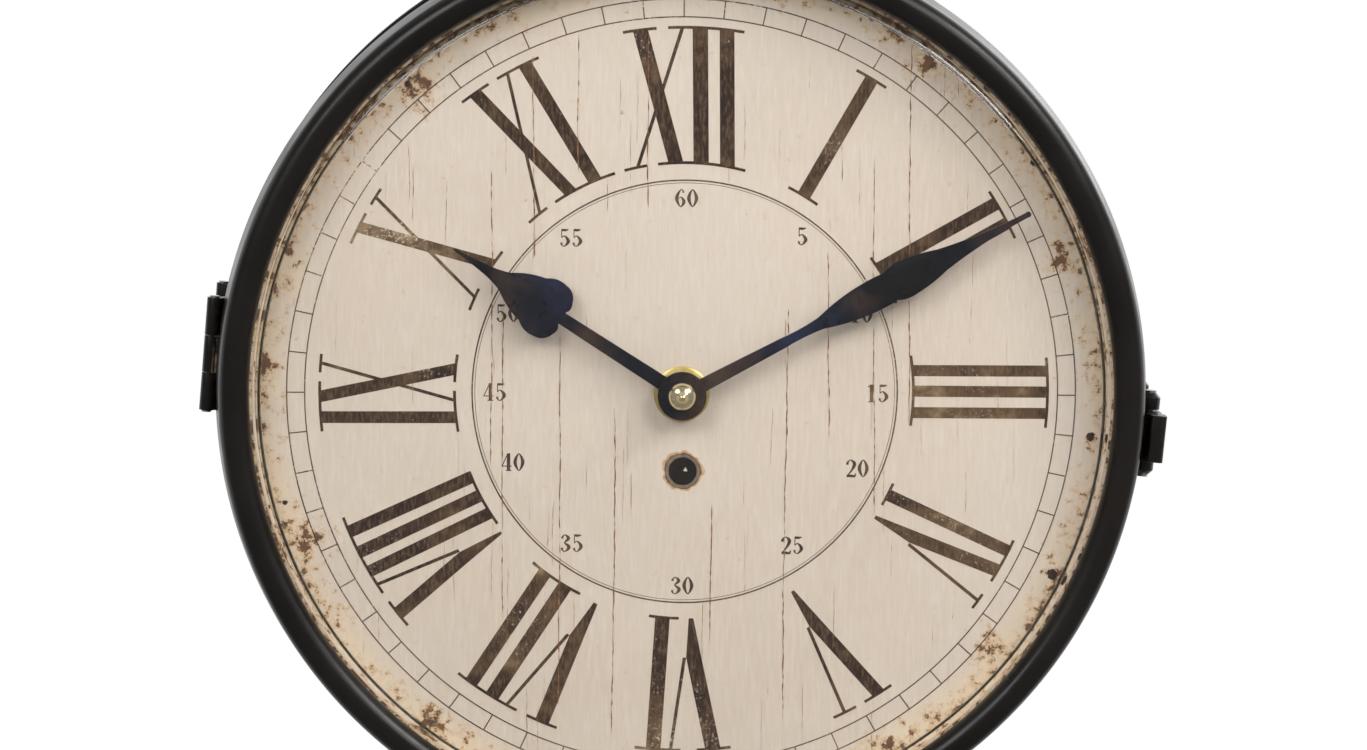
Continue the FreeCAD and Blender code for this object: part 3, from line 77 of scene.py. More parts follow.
def photo_camera():
    """Camera on the fitted line of sight: 142 mm lens, with the dial's centre a little below the middle."""
    c, s = math.cos, math.sin
    right = Vector((c(camera_azimuth), s(camera_azimuth), 0))
    ahead = Vector(
        (
            -s(camera_azimuth) * c(camera_elevation),
            c(camera_azimuth) * c(camera_elevation),
            -s(camera_elevation),
        )
    )
    up = right.cross(ahead)
    across = right * c(camera_roll) - up * s(camera_roll)
    upward = right * s(camera_roll) + up * c(camera_roll)
    lens = bpy.data.cameras.new("photo_camera")
    lens.sensor_width = 36.0
    lens.lens = camera_lens
    lens.shift_x, lens.shift_y = camera_shift
    lens.clip_start = 0.05
    camera = bpy.data.objects.new("photo_camera", lens)
    bpy.context.scene.collection.objects.link(camera)
    aim = clock_centre + Vector((0, -dial_face, 0))
    camera.matrix_world = Matrix.LocRotScale(
        aim - ahead * camera_distance, Matrix((across, upward, -ahead)).transposed(), None
    )
    bpy.context.scene.camera = camera


def feed(tree, value, socket):
    """Gives an input a link, a colour or a number."""
    if isinstance(value, bpy.types.NodeSocket):
        tree.links.new(value, socket)
    elif isinstance(value, tuple):
        socket.default_value = (*value, 1)
    else:
        socket.default_value = value


def maths(tree, operation, first, second=0.0):
    """One step of arithmetic on sockets or numbers."""
    node = tree.nodes.new("ShaderNodeMath")
    node.operation = operation
    feed(tree, first, node.inputs[0])
    feed(tree, second, node.inputs[1])
    return node.outputs[0]


def plus(tree, first, second):
    return maths(tree, "ADD", first, second)


def minus(tree, first, second):
    return maths(tree, "SUBTRACT", first, second)


def times(tree, first, second):
    return maths(tree, "MULTIPLY", first, second)


def between(tree, share, first, second):
    """A number from the first to the second, by a share."""
    node = tree.nodes.new("ShaderNodeMix")
    for value, place in ((share, 0), (first, 2), (second, 3)):
        feed(tree, value, node.inputs[place])
    return node.outputs[0]


def ray_kinds(tree):
    """Whether the camera sees this, and whether gloss mirrors it, each of them straight or through glass."""
    path = tree.nodes.new("ShaderNodeLightPath").outputs
    passed = path["Is Transmission Ray"]
    bounced = maths(tree, "MINIMUM", 1.0, plus(tree, path["Diffuse Depth"], path["Glossy Depth"]))
    straight = times(tree, passed, minus(tree, 1.0, bounced))
    shiny = maths(tree, "MINIMUM", passed, path["Glossy Depth"])
    seen = maths(tree, "MAXIMUM", path["Is Camera Ray"], straight)
    return seen, maths(tree, "MAXIMUM", path["Is Glossy Ray"], shiny)


def mirrored_room(tree, along):
    """How bright gloss sees the room: white behind the clock, dimmer on the camera's side."""
    fade = tree.nodes.new("ShaderNodeMapRange")
    limits = {"From Min": 0.0, "From Max": gloss_fade, "To Min": gloss_light, "To Max": 1.0}
    for name, value in limits.items():
        fade.inputs[name].default_value = value
    parts = tree.nodes.new("ShaderNodeSeparateXYZ")
    tree.links.new(along, parts.inputs[0])
    tree.links.new(parts.outputs["Y"], fade.inputs["Value"])
    return fade.outputs[0]


def bright_room():
    """World: white where it is seen, even where it lights, and dimmer in gloss on the camera's side."""
    world = bpy.data.worlds.new("bright_room")
    world.use_nodes = True
    tree = world.node_tree
    back = tree.nodes["Background"]
    seen, mirrored = ray_kinds(tree)
    way = tree.nodes.new("ShaderNodeTexCoord")
    glossy = mirrored_room(tree, way.outputs["Generated"])
    level = between(tree, seen, between(tree, mirrored, room_light, glossy), 1.0)
    tree.links.new(level, back.inputs["Strength"])
    back.inputs["Color"].default_value = (1, 1, 1, 1)
    world.cycles.sampling_method = "NONE"
    bpy.context.scene.world = world


def pale_floor():
    """A wide floor sheet, white to the camera apart from the clock's soft shadow, and dim in dark gloss."""
    mesh = bpy.data.meshes.new("floor")
    half = floor_size / 2
    corners = [(-half, -half), (half, -half), (half, half), (-half, half)]
    mesh.from_pydata([(x, y, floor_height) for x, y in corners], [], [(0, 1, 2, 3)])
    floor = bpy.data.objects.new("floor", mesh)
    bpy.context.scene.collection.objects.link(floor)
    finish = bpy.data.materials.new("floor_paint")
    finish.use_nodes = True
    tree = finish.node_tree
    paint = tree.nodes["Principled BSDF"]
    paint.inputs["Base Color"].default_value = floor_paint
    paint.inputs["Roughness"].default_value = 0.9
    seen, mirrored = ray_kinds(tree)
    place = tree.nodes.new("ShaderNodeTexCoord")
    glossy = mirrored_room(tree, place.outputs["Object"])
    surface = paint.outputs[0]
    for amount, glow in ((mirrored, glossy), (times(tree, seen, floor_share), floor_glow)):
        white, both = tree.nodes.new("ShaderNodeEmission"), tree.nodes.new("ShaderNodeMixShader")
        feed(tree, glow, white.inputs["Strength"])
        for source, socket in zip((amount, surface, white.outputs[0]), both.inputs):
            tree.links.new(source, socket)
        surface = both.outputs[0]
    tree.links.new(surface, tree.nodes["Material Output"].inputs["Surface"])
    mesh.materials.append(finish)


bpy.context.scene.view_settings.view_transform = "Standard"
photo_camera()
bright_room()
pale_floor()
soft_lamp("key_box", (1.19, -0.62, 0.71), clock_centre, (0.42, 0.42), 7.5, (1.0, 0.985, 0.96))
soft_lamp("left_box", (-0.92, -1.60, 1.10), clock_centre, (0.9, 0.9), 15.5, (0.985, 0.992, 1.0))
soft_lamp("right_box", (1.32, -1.60, 1.10), clock_centre, (0.9, 0.9), 13.0, (1.0, 0.995, 0.985))
soft_lamp("rear_box", (1.3, 1.3, 0.6), clock_centre, (1.2, 1.2), 12.0, (1.0, 1.0, 1.0))


# ---- forged bracket: wall plate, arm, ball finial, scroll and rivets ----
# Flat bar, square bar and a turned ball, all of mild steel. The scroll is bent hot and riveted to the plate
# and the arm. Everything is brushed with matt black paint, which has gone grey and brown along the edges.

mm = 0.001


def new_finish(name, metallic, roughness):
    """A material with one Principled shader, and its node tree ready for colour and relief."""
    finish = bpy.data.materials.new(name)
    finish.use_nodes = True
    shader = finish.node_tree.nodes["Principled BSDF"]
    shader.inputs["Metallic"].default_value = metallic
    shader.inputs["Roughness"].default_value = roughness
    return finish, shader


def noise(tree, scale, detail=4.0, stretch=(1, 1, 1), rough=0.55, offset=(0, 0, 0)):
    """Noise over the piece's own coordinates, in metres, stretched along an axis by a small factor there."""
    place = tree.nodes.new("ShaderNodeTexCoord")
    mapping = tree.nodes.new("ShaderNodeMapping")
    mapping.inputs["Scale"].default_value = stretch
    mapping.inputs["Location"].default_value = offset
    texture = tree.nodes.new("ShaderNodeTexNoise")
    texture.inputs["Scale"].default_value = scale
    texture.inputs["Detail"].default_value = detail
    texture.inputs["Roughness"].default_value = rough
    tree.links.new(place.outputs["Object"], mapping.inputs["Vector"])
    tree.links.new(mapping.outputs["Vector"], texture.inputs["Vector"])
    return texture.outputs["Fac"]


def ramp(tree, source, stops):
    """Colours or greys by a value: stops of (position, colour)."""
    node = tree.nodes.new("ShaderNodeValToRGB")
    band = node.color_ramp
    while len(band.elements) < len(stops):
        band.elements.new(0.5)
    for element, (position, colour) in zip(band.elements, stops):
        element.position = position
        element.color = (*colour, 1) if isinstance(colour, tuple) else (colour, colour, colour, 1)
    tree.links.new(source, node.inputs["Fac"])
    return node.outputs["Color"]


def mix(tree, share, first, second, blend="MIX"):
    """Mix of two colours, each a socket or a colour, by a socket or a number."""
    node = tree.nodes.new("ShaderNodeMix")
    node.data_type = "RGBA"
    node.blend_type = blend
    for value, place in ((share, 0), (first, 6), (second, 7)):
        feed(tree, value, node.inputs[place])
    return node.outputs[2]


def relief(tree, shader, source, depth, strength=1.0):
    """Raises the surface by a value, up to a depth in metres."""
    bump = tree.nodes.new("ShaderNodeBump")
    bump.inputs["Distance"].default_value = depth
    bump.inputs["Strength"].default_value = strength
    tree.links.new(source, bump.inputs["Height"])
    tree.links.new(bump.outputs["Normal"], shader.inputs["Normal"])


def edge_wear(tree, low, high):
    """White on raised edges, broken up by noise."""
    shape = tree.nodes.new("ShaderNodeNewGeometry")
    edges = ramp(tree, shape.outputs["Pointiness"], [(low, 0.0), (high, 1.0)])
    patches = ramp(tree, noise(tree, 260, 5), [(0.42, 0.0), (0.62, 1.0)])
    return times(tree, edges, patches)


def forged_iron():
    finish, shader = new_finish("brushed_black_iron", 0.0, 0.55)
    tree = finish.node_tree
    shades = [(0.3, (0.012, 0.012, 0.013)), (0.75, (0.030, 0.028, 0.027))]
    paint = ramp(tree, noise(tree, 38, 6), shades)
    worn = mix(tree, edge_wear(tree, 0.53, 0.60), paint, (0.11, 0.075, 0.05))
    tree.links.new(worn, shader.inputs["Base Color"])
    gloss = ramp(tree, noise(tree, 90, 5), [(0.3, 0.42), (0.7, 0.68)])
    tree.links.new(gloss, shader.inputs["Roughness"])
    dents = noise(tree, 150, 3)
    grain = times(tree, noise(tree, 1800, 3), 0.15)
    relief(tree, shader, plus(tree, dents, grain), 0.0005, 0.55)
    return finish


def own_mesh(name, mesh, finish, body, slot, *nodes):
    """A finished piece: its mesh, its finish, what it rides on and what it stands for."""
    mesh.materials.clear()
    mesh.materials.append(finish)
    piece = bpy.data.objects.new(name, mesh)
    bpy.context.scene.collection.objects.link(piece)
    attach(piece, body)
    if nodes:
        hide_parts(*nodes)
    return piece


def baked(mesh, set_up):
    """The mesh after a modifier that set_up adds, as a plain mesh."""
    holder = bpy.data.objects.new("bench", mesh)
    bpy.context.scene.collection.objects.link(holder)
    set_up(holder)
    bpy.context.view_layer.update()
    shaped = holder.evaluated_get(bpy.context.evaluated_depsgraph_get())
    result = bpy.data.meshes.new_from_object(shaped)
    bpy.data.objects.remove(holder)
    return result


def eased(node, width, smooth_angle=35):
    """A node's shape with its triangles joined and its sharp edges rounded by a width in millimetres."""
    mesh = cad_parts[node].data.copy()
    shape = bmesh.new()
    shape.from_mesh(mesh)
    bmesh.ops.remove_doubles(shape, verts=shape.verts, dist=2e-6)
    bmesh.ops.dissolve_limit(shape, angle_limit=math.radians(0.6), verts=shape.verts, edges=shape.edges)
    shape.to_mesh(mesh)
    shape.free()

    def round_edges(holder):
        bevel = holder.modifiers.new("eased", "BEVEL")
        bevel.width = width * mm
        bevel.segments = 2
        bevel.limit_method = "ANGLE"
        bevel.angle_limit = math.radians(40)
        bevel.use_clamp_overlap = True

    if width > 0:
        mesh = baked(mesh, round_edges)
    mesh.shade_smooth()
    mesh.set_sharp_from_angle(angle=math.radians(smooth_angle))
    return mesh


black_iron = forged_iron()
forged_parts = {
    "wall_plate": 0.5,
    "bracket_arm": 0.5,
    "arm_finial": 0.3,
    "bracket_scroll": 0.5,
    "scroll_rivets": 0.2,
    "hanger_stem": 0.25,
    "stem_nut": 0.4,
    "hanger_saddle": 0.35,
    "saddle_screws": 0.2,
}
for node, width in forged_parts.items():
    own_mesh(f"{node}_painted", eased(node, width), black_iron, "case", "black_iron", node)


# ---- drum, hinge leaves and catch brackets ----
# Rolled steel band and pressed fittings, riveted together, all in satin black enamel. The enamel has small
# bruises and a worn brown bloom along its edges.


def black_enamel(name, wear_low, wear_high, worn_colour):
    finish, shader = new_finish(name, 0.0, 0.3)
    tree = finish.node_tree
    shades = [(0.3, (0.0045, 0.0036, 0.0030)), (0.8, (0.0105, 0.0078, 0.0062))]
    paint = ramp(tree, noise(tree, 24, 6), shades)
    worn = mix(tree, edge_wear(tree, wear_low, wear_high), paint, worn_colour)
    tree.links.new(worn, shader.inputs["Base Color"])
    gloss = ramp(tree, noise(tree, 60, 6), [(0.3, 0.26), (0.72, 0.44)])
    tree.links.new(gloss, shader.inputs["Roughness"])
    skin = plus(tree, noise(tree, 320, 3), times(tree, noise(tree, 1500, 2), 0.06))
    relief(tree, shader, skin, 0.0001, 0.5)
    shader.inputs["Specular IOR Level"].default_value = 0.26
    shader.inputs["Coat Weight"].default_value = 0.12
    shader.inputs["Coat Roughness"].default_value = 0.18
    return finish


drum_enamel = black_enamel("drum_enamel", 0.54, 0.62, (0.10, 0.062, 0.04))
fitting_enamel = black_enamel("fitting_enamel", 0.545, 0.62, (0.19, 0.145, 0.09))
own_mesh("drum_enamelled", eased("drum", 0.25), drum_enamel, "case", "black_shell", "drum")
own_mesh(
    "fitting_rivets_enamelled", eased("fitting_rivets", 0.0, 50), fitting_enamel, "case", "black_shell",
    "fitting_rivets",
)
sides = ("front", "rear")
for side in sides:
    for node in (f"hinge_case_leaf_{side}", f"catch_bracket_{side}"):
        own_mesh(f"{node}_enamelled", eased(node, 0.25), fitting_enamel, "case", "black_shell", node)
    leaf, lever = f"hinge_bezel_leaf_{side}", f"catch_lever_{side}"
    own_mesh(f"{leaf}_enamelled", eased(leaf, 0.2), fitting_enamel, f"bezel_{side}", "black_shell", leaf)
    own_mesh(f"{lever}_enamelled", eased(lever, 0.9), fitting_enamel, f"catch_{side}", "black_shell", lever)


# ---- zinc plated small parts ----
# Pins, screws, nuts, seat rings and lens retainers, bright zinc gone a little dull.


def dress(node, finish):
    """Gives a node that keeps its own shape a better finish."""
    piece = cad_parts[node]
    if not piece.material_slots:
        piece.data.materials.append(finish)
    for slot in piece.material_slots:
        slot.material = finish


def plated_zinc():
    finish, shader = new_finish("dull_zinc", 1.0, 0.38)
    tree = finish.node_tree
    colour = ramp(tree, noise(tree, 90, 5), [(0.3, (0.42, 0.42, 0.41)), (0.75, (0.62, 0.62, 0.60))])
    tree.links.new(colour, shader.inputs["Base Color"])
    tree.links.new(ramp(tree, noise(tree, 240, 4), [(0.3, 0.28), (0.7, 0.5)]), shader.inputs["Roughness"])
    relief(tree, shader, noise(tree, 1500, 3), 0.00005, 0.4)
    return finish


zinc = plated_zinc()
zinc_nodes = ["saddle_nuts", "dial_screws", "hinge_pins", "catch_pins", "battery_contacts"]
zinc_nodes += [f"{name}_{side}" for name in ("dial_seat", "lens_retainer") for side in sides]
for node in zinc_nodes:
    dress(node, zinc)


# ---- dial: aged paper on a thin board ----
# Cream paper pasted on board, with fine upright fibres, brown blooms, and rust stains that creep in from
# the rim under the lens.

rust_spots = (
    # angle anticlockwise from the right, distance from the centre, reach, in degrees and millimetres
    (131, 112, 8), (128, 119, 7), (160, 117, 5), (176, 116, 6), (201, 113, 9), (206, 119, 6), (214, 117, 4),
    (233, 116, 7), (-39, 113, 7), (-26, 117, 4), (-6, 116, 3), (20, 113, 7), (33, 117, 4), (54, 114, 6),
    (60, 118, 8), (76, 116, 5), (104, 117, 6), (118, 116, 5), (-60, 117, 7), (-95, 117, 6), (251, 117, 6),
)


def polar(tree):
    """Distance from the dial's axis, in millimetres."""
    place = tree.nodes.new("ShaderNodeTexCoord")
    parts = tree.nodes.new("ShaderNodeSeparateXYZ")
    tree.links.new(place.outputs["Object"], parts.inputs[0])
    x = minus(tree, parts.outputs["X"], clock_centre.x)
    z = minus(tree, parts.outputs["Z"], clock_centre.z)
    square = plus(tree, times(tree, x, x), times(tree, z, z))
    return times(tree, maths(tree, "SQRT", square), 1 / mm)


def near_spots(tree):
    """1 at the middle of a rust spot, 0 past its reach, on either dial."""
    place = tree.nodes.new("ShaderNodeTexCoord")
    flat = tree.nodes.new("ShaderNodeVectorMath")
    flat.operation = "MULTIPLY"
    flat.inputs[1].default_value = (1, 0, 1)
    tree.links.new(place.outputs["Object"], flat.inputs[0])
    total = 0.0
    for angle, distance, reach in rust_spots:
        turn = math.radians(angle)
        spot = clock_centre + Vector((math.cos(turn), 0, math.sin(turn))) * distance * mm
        gap = tree.nodes.new("ShaderNodeVectorMath")
        gap.operation = "DISTANCE"
        gap.inputs[1].default_value = (spot.x, 0, spot.z)
        tree.links.new(flat.outputs[0], gap.inputs[0])
        share = minus(tree, 1.0, maths(tree, "DIVIDE", gap.outputs["Value"], reach * mm * 1.5))
        total = maths(tree, "MAXIMUM", share, total)
    return total


def paper_colour(tree):
    """The paper's colour at a place of the dial, also where the print is worn off it, with painted light
    near the rim.
    """
    cream, shade = (0.745, 0.645, 0.540), (0.690, 0.580, 0.460)
    blotches = ramp(tree, noise(tree, 14, 5), [(0.32, 0.0), (0.75, 1.0)])
    colour = mix(tree, blotches, cream, shade)
    fibres = ramp(tree, noise(tree, 1.0, 6, (2300, 2300, 190)), [(0.42, 0.0), (0.74, 1.0)])
    colour = mix(tree, times(tree, fibres, 0.24), colour, (0.56, 0.40, 0.28))
    chalk = ramp(tree, noise(tree, 1.0, 5, (900, 900, 110), offset=(4, 0, 9)), [(0.46, 0.0), (0.70, 1.0)])
    colour = mix(tree, times(tree, chalk, 0.35), colour, (0.80, 0.73, 0.655))
    specks = ramp(tree, noise(tree, 700, 3), [(0.66, 0.0), (0.76, 1.0)])
    colour = mix(tree, times(tree, specks, 0.14), colour, (0.40, 0.25, 0.14))
    radius = polar(tree)
    # Towards the rim the paper turns gold, and this gold is lighter than the paper's own tone: painted light
    # against the shade that the bezel's lip casts on the rim.
    edge = maths(tree, "DIVIDE", minus(tree, radius, 104.0), 14.0)
    cloud = minus(tree, noise(tree, 62, 6), 0.9)
    rim_gold_and_painted_light = ramp(tree, plus(tree, edge, cloud), [(0.0, 0.0), (0.75, 1.0)])
    colour = mix(tree, times(tree, rim_gold_and_painted_light, 0.75), colour, (0.88, 0.68, 0.43))
    spots = near_spots(tree)
    crumbs = noise(tree, 330, 7, rough=0.72)
    inner = plus(tree, times(tree, spots, 0.27), minus(tree, crumbs, 0.175))
    outer = plus(tree, times(tree, edge, 0.20), minus(tree, crumbs, 0.205))
    level = maths(tree, "MAXIMUM", inner, outer)
    halo = ramp(tree, level, [(0.45, 0.0), (0.56, 1.0)])
    colour = mix(tree, times(tree, halo, 0.75), colour, (0.62, 0.36, 0.14))
    rust = ramp(tree, level, [(0.545, 0.0), (0.575, 1.0)])
    rust_tone = ramp(tree, noise(tree, 210, 5), [(0.35, (0.045, 0.016, 0.008)), (0.7, (0.22, 0.085, 0.028))])
    return mix(tree, times(tree, rust, 0.92), colour, rust_tone)


def aged_paper():
    finish, shader = new_finish("aged_paper", 0.0, 0.62)
    tree = finish.node_tree
    tree.links.new(paper_colour(tree), shader.inputs["Base Color"])
    relief(tree, shader, noise(tree, 1.0, 5, (1400, 1400, 160)), 0.00004, 0.35)
    shader.inputs["Specular IOR Level"].default_value = 0.35
    return finish


paper = aged_paper()
for side in sides:
    dress(f"dial_{side}", paper)


# ---- printing on the dial: numerals, minute track, small numbers and a mock winding hole ----
# Everything is printed in dark brown ink, worn to gold and bare paper in patches. The track and the inner
# circle are hairlines, and the winding hole is only drawn.

print_shift = Vector((0.7, 0.6))
numeral_outer = 101.5
numeral_inner = 64.0
serif_thick = 0.80
thin_stroke = 0.95
ink_lift = 0.03
ink_thick = 0.03
facing = {
    "front": Matrix(((1, 0, 0), (0, 0, -1), (0, 1, 0))),
    "rear": Matrix(((-1, 0, 0), (0, 0, 1), (0, 1, 0))),
}

# strokes by hour, in millimetres to the right of the hour's own line, read with its top outwards:
# ("bar", at the outer end, at the inner end, width)
# ("vee", left edge, width, apex left, apex right, right edge)
numeral_strokes = {
    12: [
        ("bar", -12.8, -2.7, 4.15), ("bar", -1.1, -13.3, 1.05),
        ("bar", 3.8, 4.3, 4.25), ("bar", 11.2, 11.6, 4.1),
    ],
    1: [("bar", 0.8, 1.0, 3.8)],
    2: [("bar", -2.7, -3.0, 3.7), ("bar", 3.6, 3.4, 3.5)],
    3: [("bar", -6.15, -6.15, 3.15), ("bar", -0.25, -0.4, 3.15), ("bar", 5.75, 5.65, 3.1)],
    4: [("bar", -6.9, -3.6, 3.35), ("vee", -2.5, 3.7, 3.1, 4.1, 9.9)],
    5: [("vee", -7.1, 3.7, 1.0, 2.0, 6.2)],
    6: [("vee", -10.9, 4.3, -3.0, -1.7, 3.7), ("bar", 8.05, 5.65, 4.1)],
    7: [("vee", -14.7, 4.0, -9.4, -8.2, -1.2), ("bar", 3.1, 1.1, 4.0), ("bar", 10.1, 7.9, 3.8)],
    8: [
        ("vee", -16.5, 3.8, -9.5, -8.7, -4.1),
        ("bar", -0.3, -2.7, 3.4), ("bar", 5.8, 2.9, 3.5), ("bar", 12.2, 8.6, 3.5),
    ],
    9: [("bar", -7.55, -7.45, 3.3), ("bar", -1.75, 6.1, 3.35), ("bar", 7.7, -2.7, 0.95)],
    10: [("bar", -5.8, 4.0, 3.25), ("bar", 3.8, -6.5, 0.95)],
    11: [("bar", -9.15, 0.2, 3.6), ("bar", 1.4, -10.15, 0.95), ("bar", 6.8, 7.7, 3.8)],
}
# serifs by hour: spans of those at the outer ends, then of those at the inner ends
numeral_serifs = {
    12: ([(-17.7, -8.3), (-5.1, 16.1)], [(-17.2, -10.7), (-7.7, 16.8)]),
    1: ([(-4.1, 5.5)], [(-3.9, 5.6)]),
    2: ([(-6.6, 8.4)], [(-6.9, 7.8)]),
    3: ([(-10.0, 9.8)], [(-10.4, 9.4)]),
    4: ([(-10.3, 2.9), (7.2, 12.1)], [(-7.1, -0.3)]),
    5: ([(-9.5, -0.6), (2.1, 9.2)], []),
    6: ([(-13.8, -4.2), (0.4, 13.3)], [(1.1, 9.5)]),
    7: ([(-17.2, -8.0), (-4.9, 14.6)], [(-3.7, 12.3)]),
    8: ([(-19.0, -10.4), (-7.5, 16.6)], [(-6.4, 10.3)]),
    9: ([(-11.6, 2.5), (5.0, 10.2)], [(-11.6, 0.0), (2.4, 10.2)]),
    10: ([(-10.9, -1.5), (1.3, 6.6)], [(-10.4, -3.9), (2.1, 8.4)]),
    11: ([(-13.6, -4.6), (-1.9, 11.1)], [(-14.2, -7.6), (-4.9, 13.6)]),
}


def stand(mesh, side):
    """Moves a mesh from dial coordinates, in millimetres, to its place on a face of the clock."""
    mesh.transform(Matrix.Translation(clock_centre) @ facing[side].to_4x4() @ Matrix.Scale(mm, 4))
    return mesh


def stripe(shape, rails, low, high, closed=False):
    """A flat band between pairs of (left, right) points, with a thickness from low to high."""
    rows = []
    for left, right in rails:
        rows.append([shape.verts.new((*point, z)) for z in (high, low) for point in (left, right)])
    pairs = list(zip(rows, rows[1:])) + ([(rows[-1], rows[0])] if closed else [])
    for one, two in pairs:
        for a, b in ((0, 1), (1, 3), (3, 2), (2, 0)):
            shape.faces.new((one[a], one[b], two[b], two[a]))
    if not closed:
        for row, order in ((rows[0], (0, 2, 3, 1)), (rows[-1], (0, 1, 3, 2))):
            shape.faces.new([row[index] for index in order])


def closed_mesh(name, shape):
    """A plain mesh of the drawn shape, with its faces outwards."""
    bmesh.ops.recalc_face_normals(shape, faces=shape.faces)
    mesh = bpy.data.meshes.new(name)
    shape.to_mesh(mesh)
    shape.free()
    return mesh


def on_circle(radius, across):
    """Height at which a circle about the print's centre stands over a point to its side."""
    return math.sqrt(radius * radius - across * across)


def printed(name, mesh, side, ink):
    """A printed piece on a face of the clock."""
    own_mesh(f"{name}_{side}", stand(mesh, side), ink, "case", "dial_board")


def bar_rails(outer, inner, width):
    rails = []
    for across, radius in ((outer, numeral_outer), (inner, numeral_inner)):
        sides = (across - width / 2, across + width / 2)
        rails.append(tuple((x, on_circle(radius, x)) for x in sides))
    return rails


def vee_rails(left, width, apex_left, apex_right, right):
    """Thick arm down to the apex, and the thin arm that joins it where their inner edges meet."""
    inner_thick, inner_thin = left + width, right - thin_stroke
    slope_left, slope_right = apex_left - left, apex_right - right
    meet = (inner_thin - inner_thick) / (slope_left - slope_right)
    height = numeral_outer + (numeral_inner - numeral_outer) * meet
    joint = (inner_thick + slope_left * meet, height)
    top = lambda x: (x, on_circle(numeral_outer, x))
    thick = [
        (top(left), top(inner_thick)),
        ((left + slope_left * meet, height), joint),
        ((apex_left, numeral_inner), (apex_right, numeral_inner)),
    ]
    thin = [(top(inner_thin), top(right)), (joint, (right + slope_right * meet, height))]
    return thick, thin


def arc_rails(radius, start, end, thick, steps):
    """A band of a thickness along a circle, between two angles clockwise from the top."""
    rails = []
    for step in range(steps + 1):
        turn = start + (end - start) * step / steps
        rails.append(
            tuple((r * math.sin(turn), r * math.cos(turn)) for r in (radius + thick / 2, radius - thick / 2))
        )
    return rails


def turned_rails(rails, angle, shift):
    """Rails turned clockwise about the print's centre and moved to it."""
    c, s = math.cos(angle), math.sin(angle)
    return [tuple((x * c + y * s + shift.x, y * c - x * s + shift.y) for x, y in pair) for pair in rails]


def numerals_mesh(name):
    shape = bmesh.new()
    base = dial_face / mm
    for hour, strokes in numeral_strokes.items():
        angle = math.radians(30 * hour)
        bands = []
        for kind, *sizes in strokes:
            bands += [bar_rails(*sizes)] if kind == "bar" else vee_rails(*sizes)
        outer_spans, inner_spans = numeral_serifs[hour]
        for radius, spans in ((numeral_outer, outer_spans), (numeral_inner, inner_spans)):
            bands += [arc_rails(radius, a / radius, b / radius, serif_thick, 8) for a, b in spans]
        for level, band in enumerate(bands):
            lift = base + ink_lift + level * 0.004
            stripe(shape, turned_rails(band, angle, print_shift), lift - ink_thick, lift)
    return closed_mesh(name, shape)


def worn_ink(name, dark, light, bare_low, bare_high):
    finish, shader = new_finish(name, 0.0, 0.55)
    tree = finish.node_tree
    worn = plus(tree, times(tree, noise(tree, 26, 3), 0.6), times(tree, noise(tree, 150, 7), 0.4))
    shades = [(0.40, dark), (0.50, light), (0.59, (0.12, 0.070, 0.034)), (0.68, (0.36, 0.25, 0.14))]
    body = ramp(tree, worn, shades)
    grain = ramp(tree, noise(tree, 1.0, 6, (1500, 1500, 420)), [(0.46, 0.0), (0.72, 1.0)])
    body = mix(tree, times(tree, grain, 0.5), body, (0.24, 0.15, 0.085))
    chips = noise(tree, 1100, 6, rough=0.7)
    patches = noise(tree, 30, 3, offset=(3.1, 0.4, 1.7))
    bare = plus(tree, times(tree, chips, 0.62), times(tree, patches, 0.38))
    bare = ramp(tree, bare, [(bare_low, 0.0), (bare_high, 1.0)])
    tree.links.new(mix(tree, bare, body, paper_colour(tree)), shader.inputs["Base Color"])
    shader.inputs["Specular IOR Level"].default_value = 0.12
    return finish


numeral_ink = worn_ink("numeral_ink", (0.026, 0.012, 0.007), (0.055, 0.029, 0.015), 0.585, 0.68)
hairline_ink = worn_ink("hairline_ink", (0.050, 0.032, 0.022), (0.11, 0.075, 0.05), 0.56, 0.62)
for side in sides:
    printed("numerals", numerals_mesh("numerals"), side, numeral_ink)

track_inner = 105.0
track_outer = 110.0
hairline = 0.36
minute_count = 60


def add_input(tree, name, kind, value):
    socket = tree.interface.new_socket(name=name, in_out="INPUT", socket_type=kind)
    if value is not None:
        socket.default_value = value
    return socket.identifier


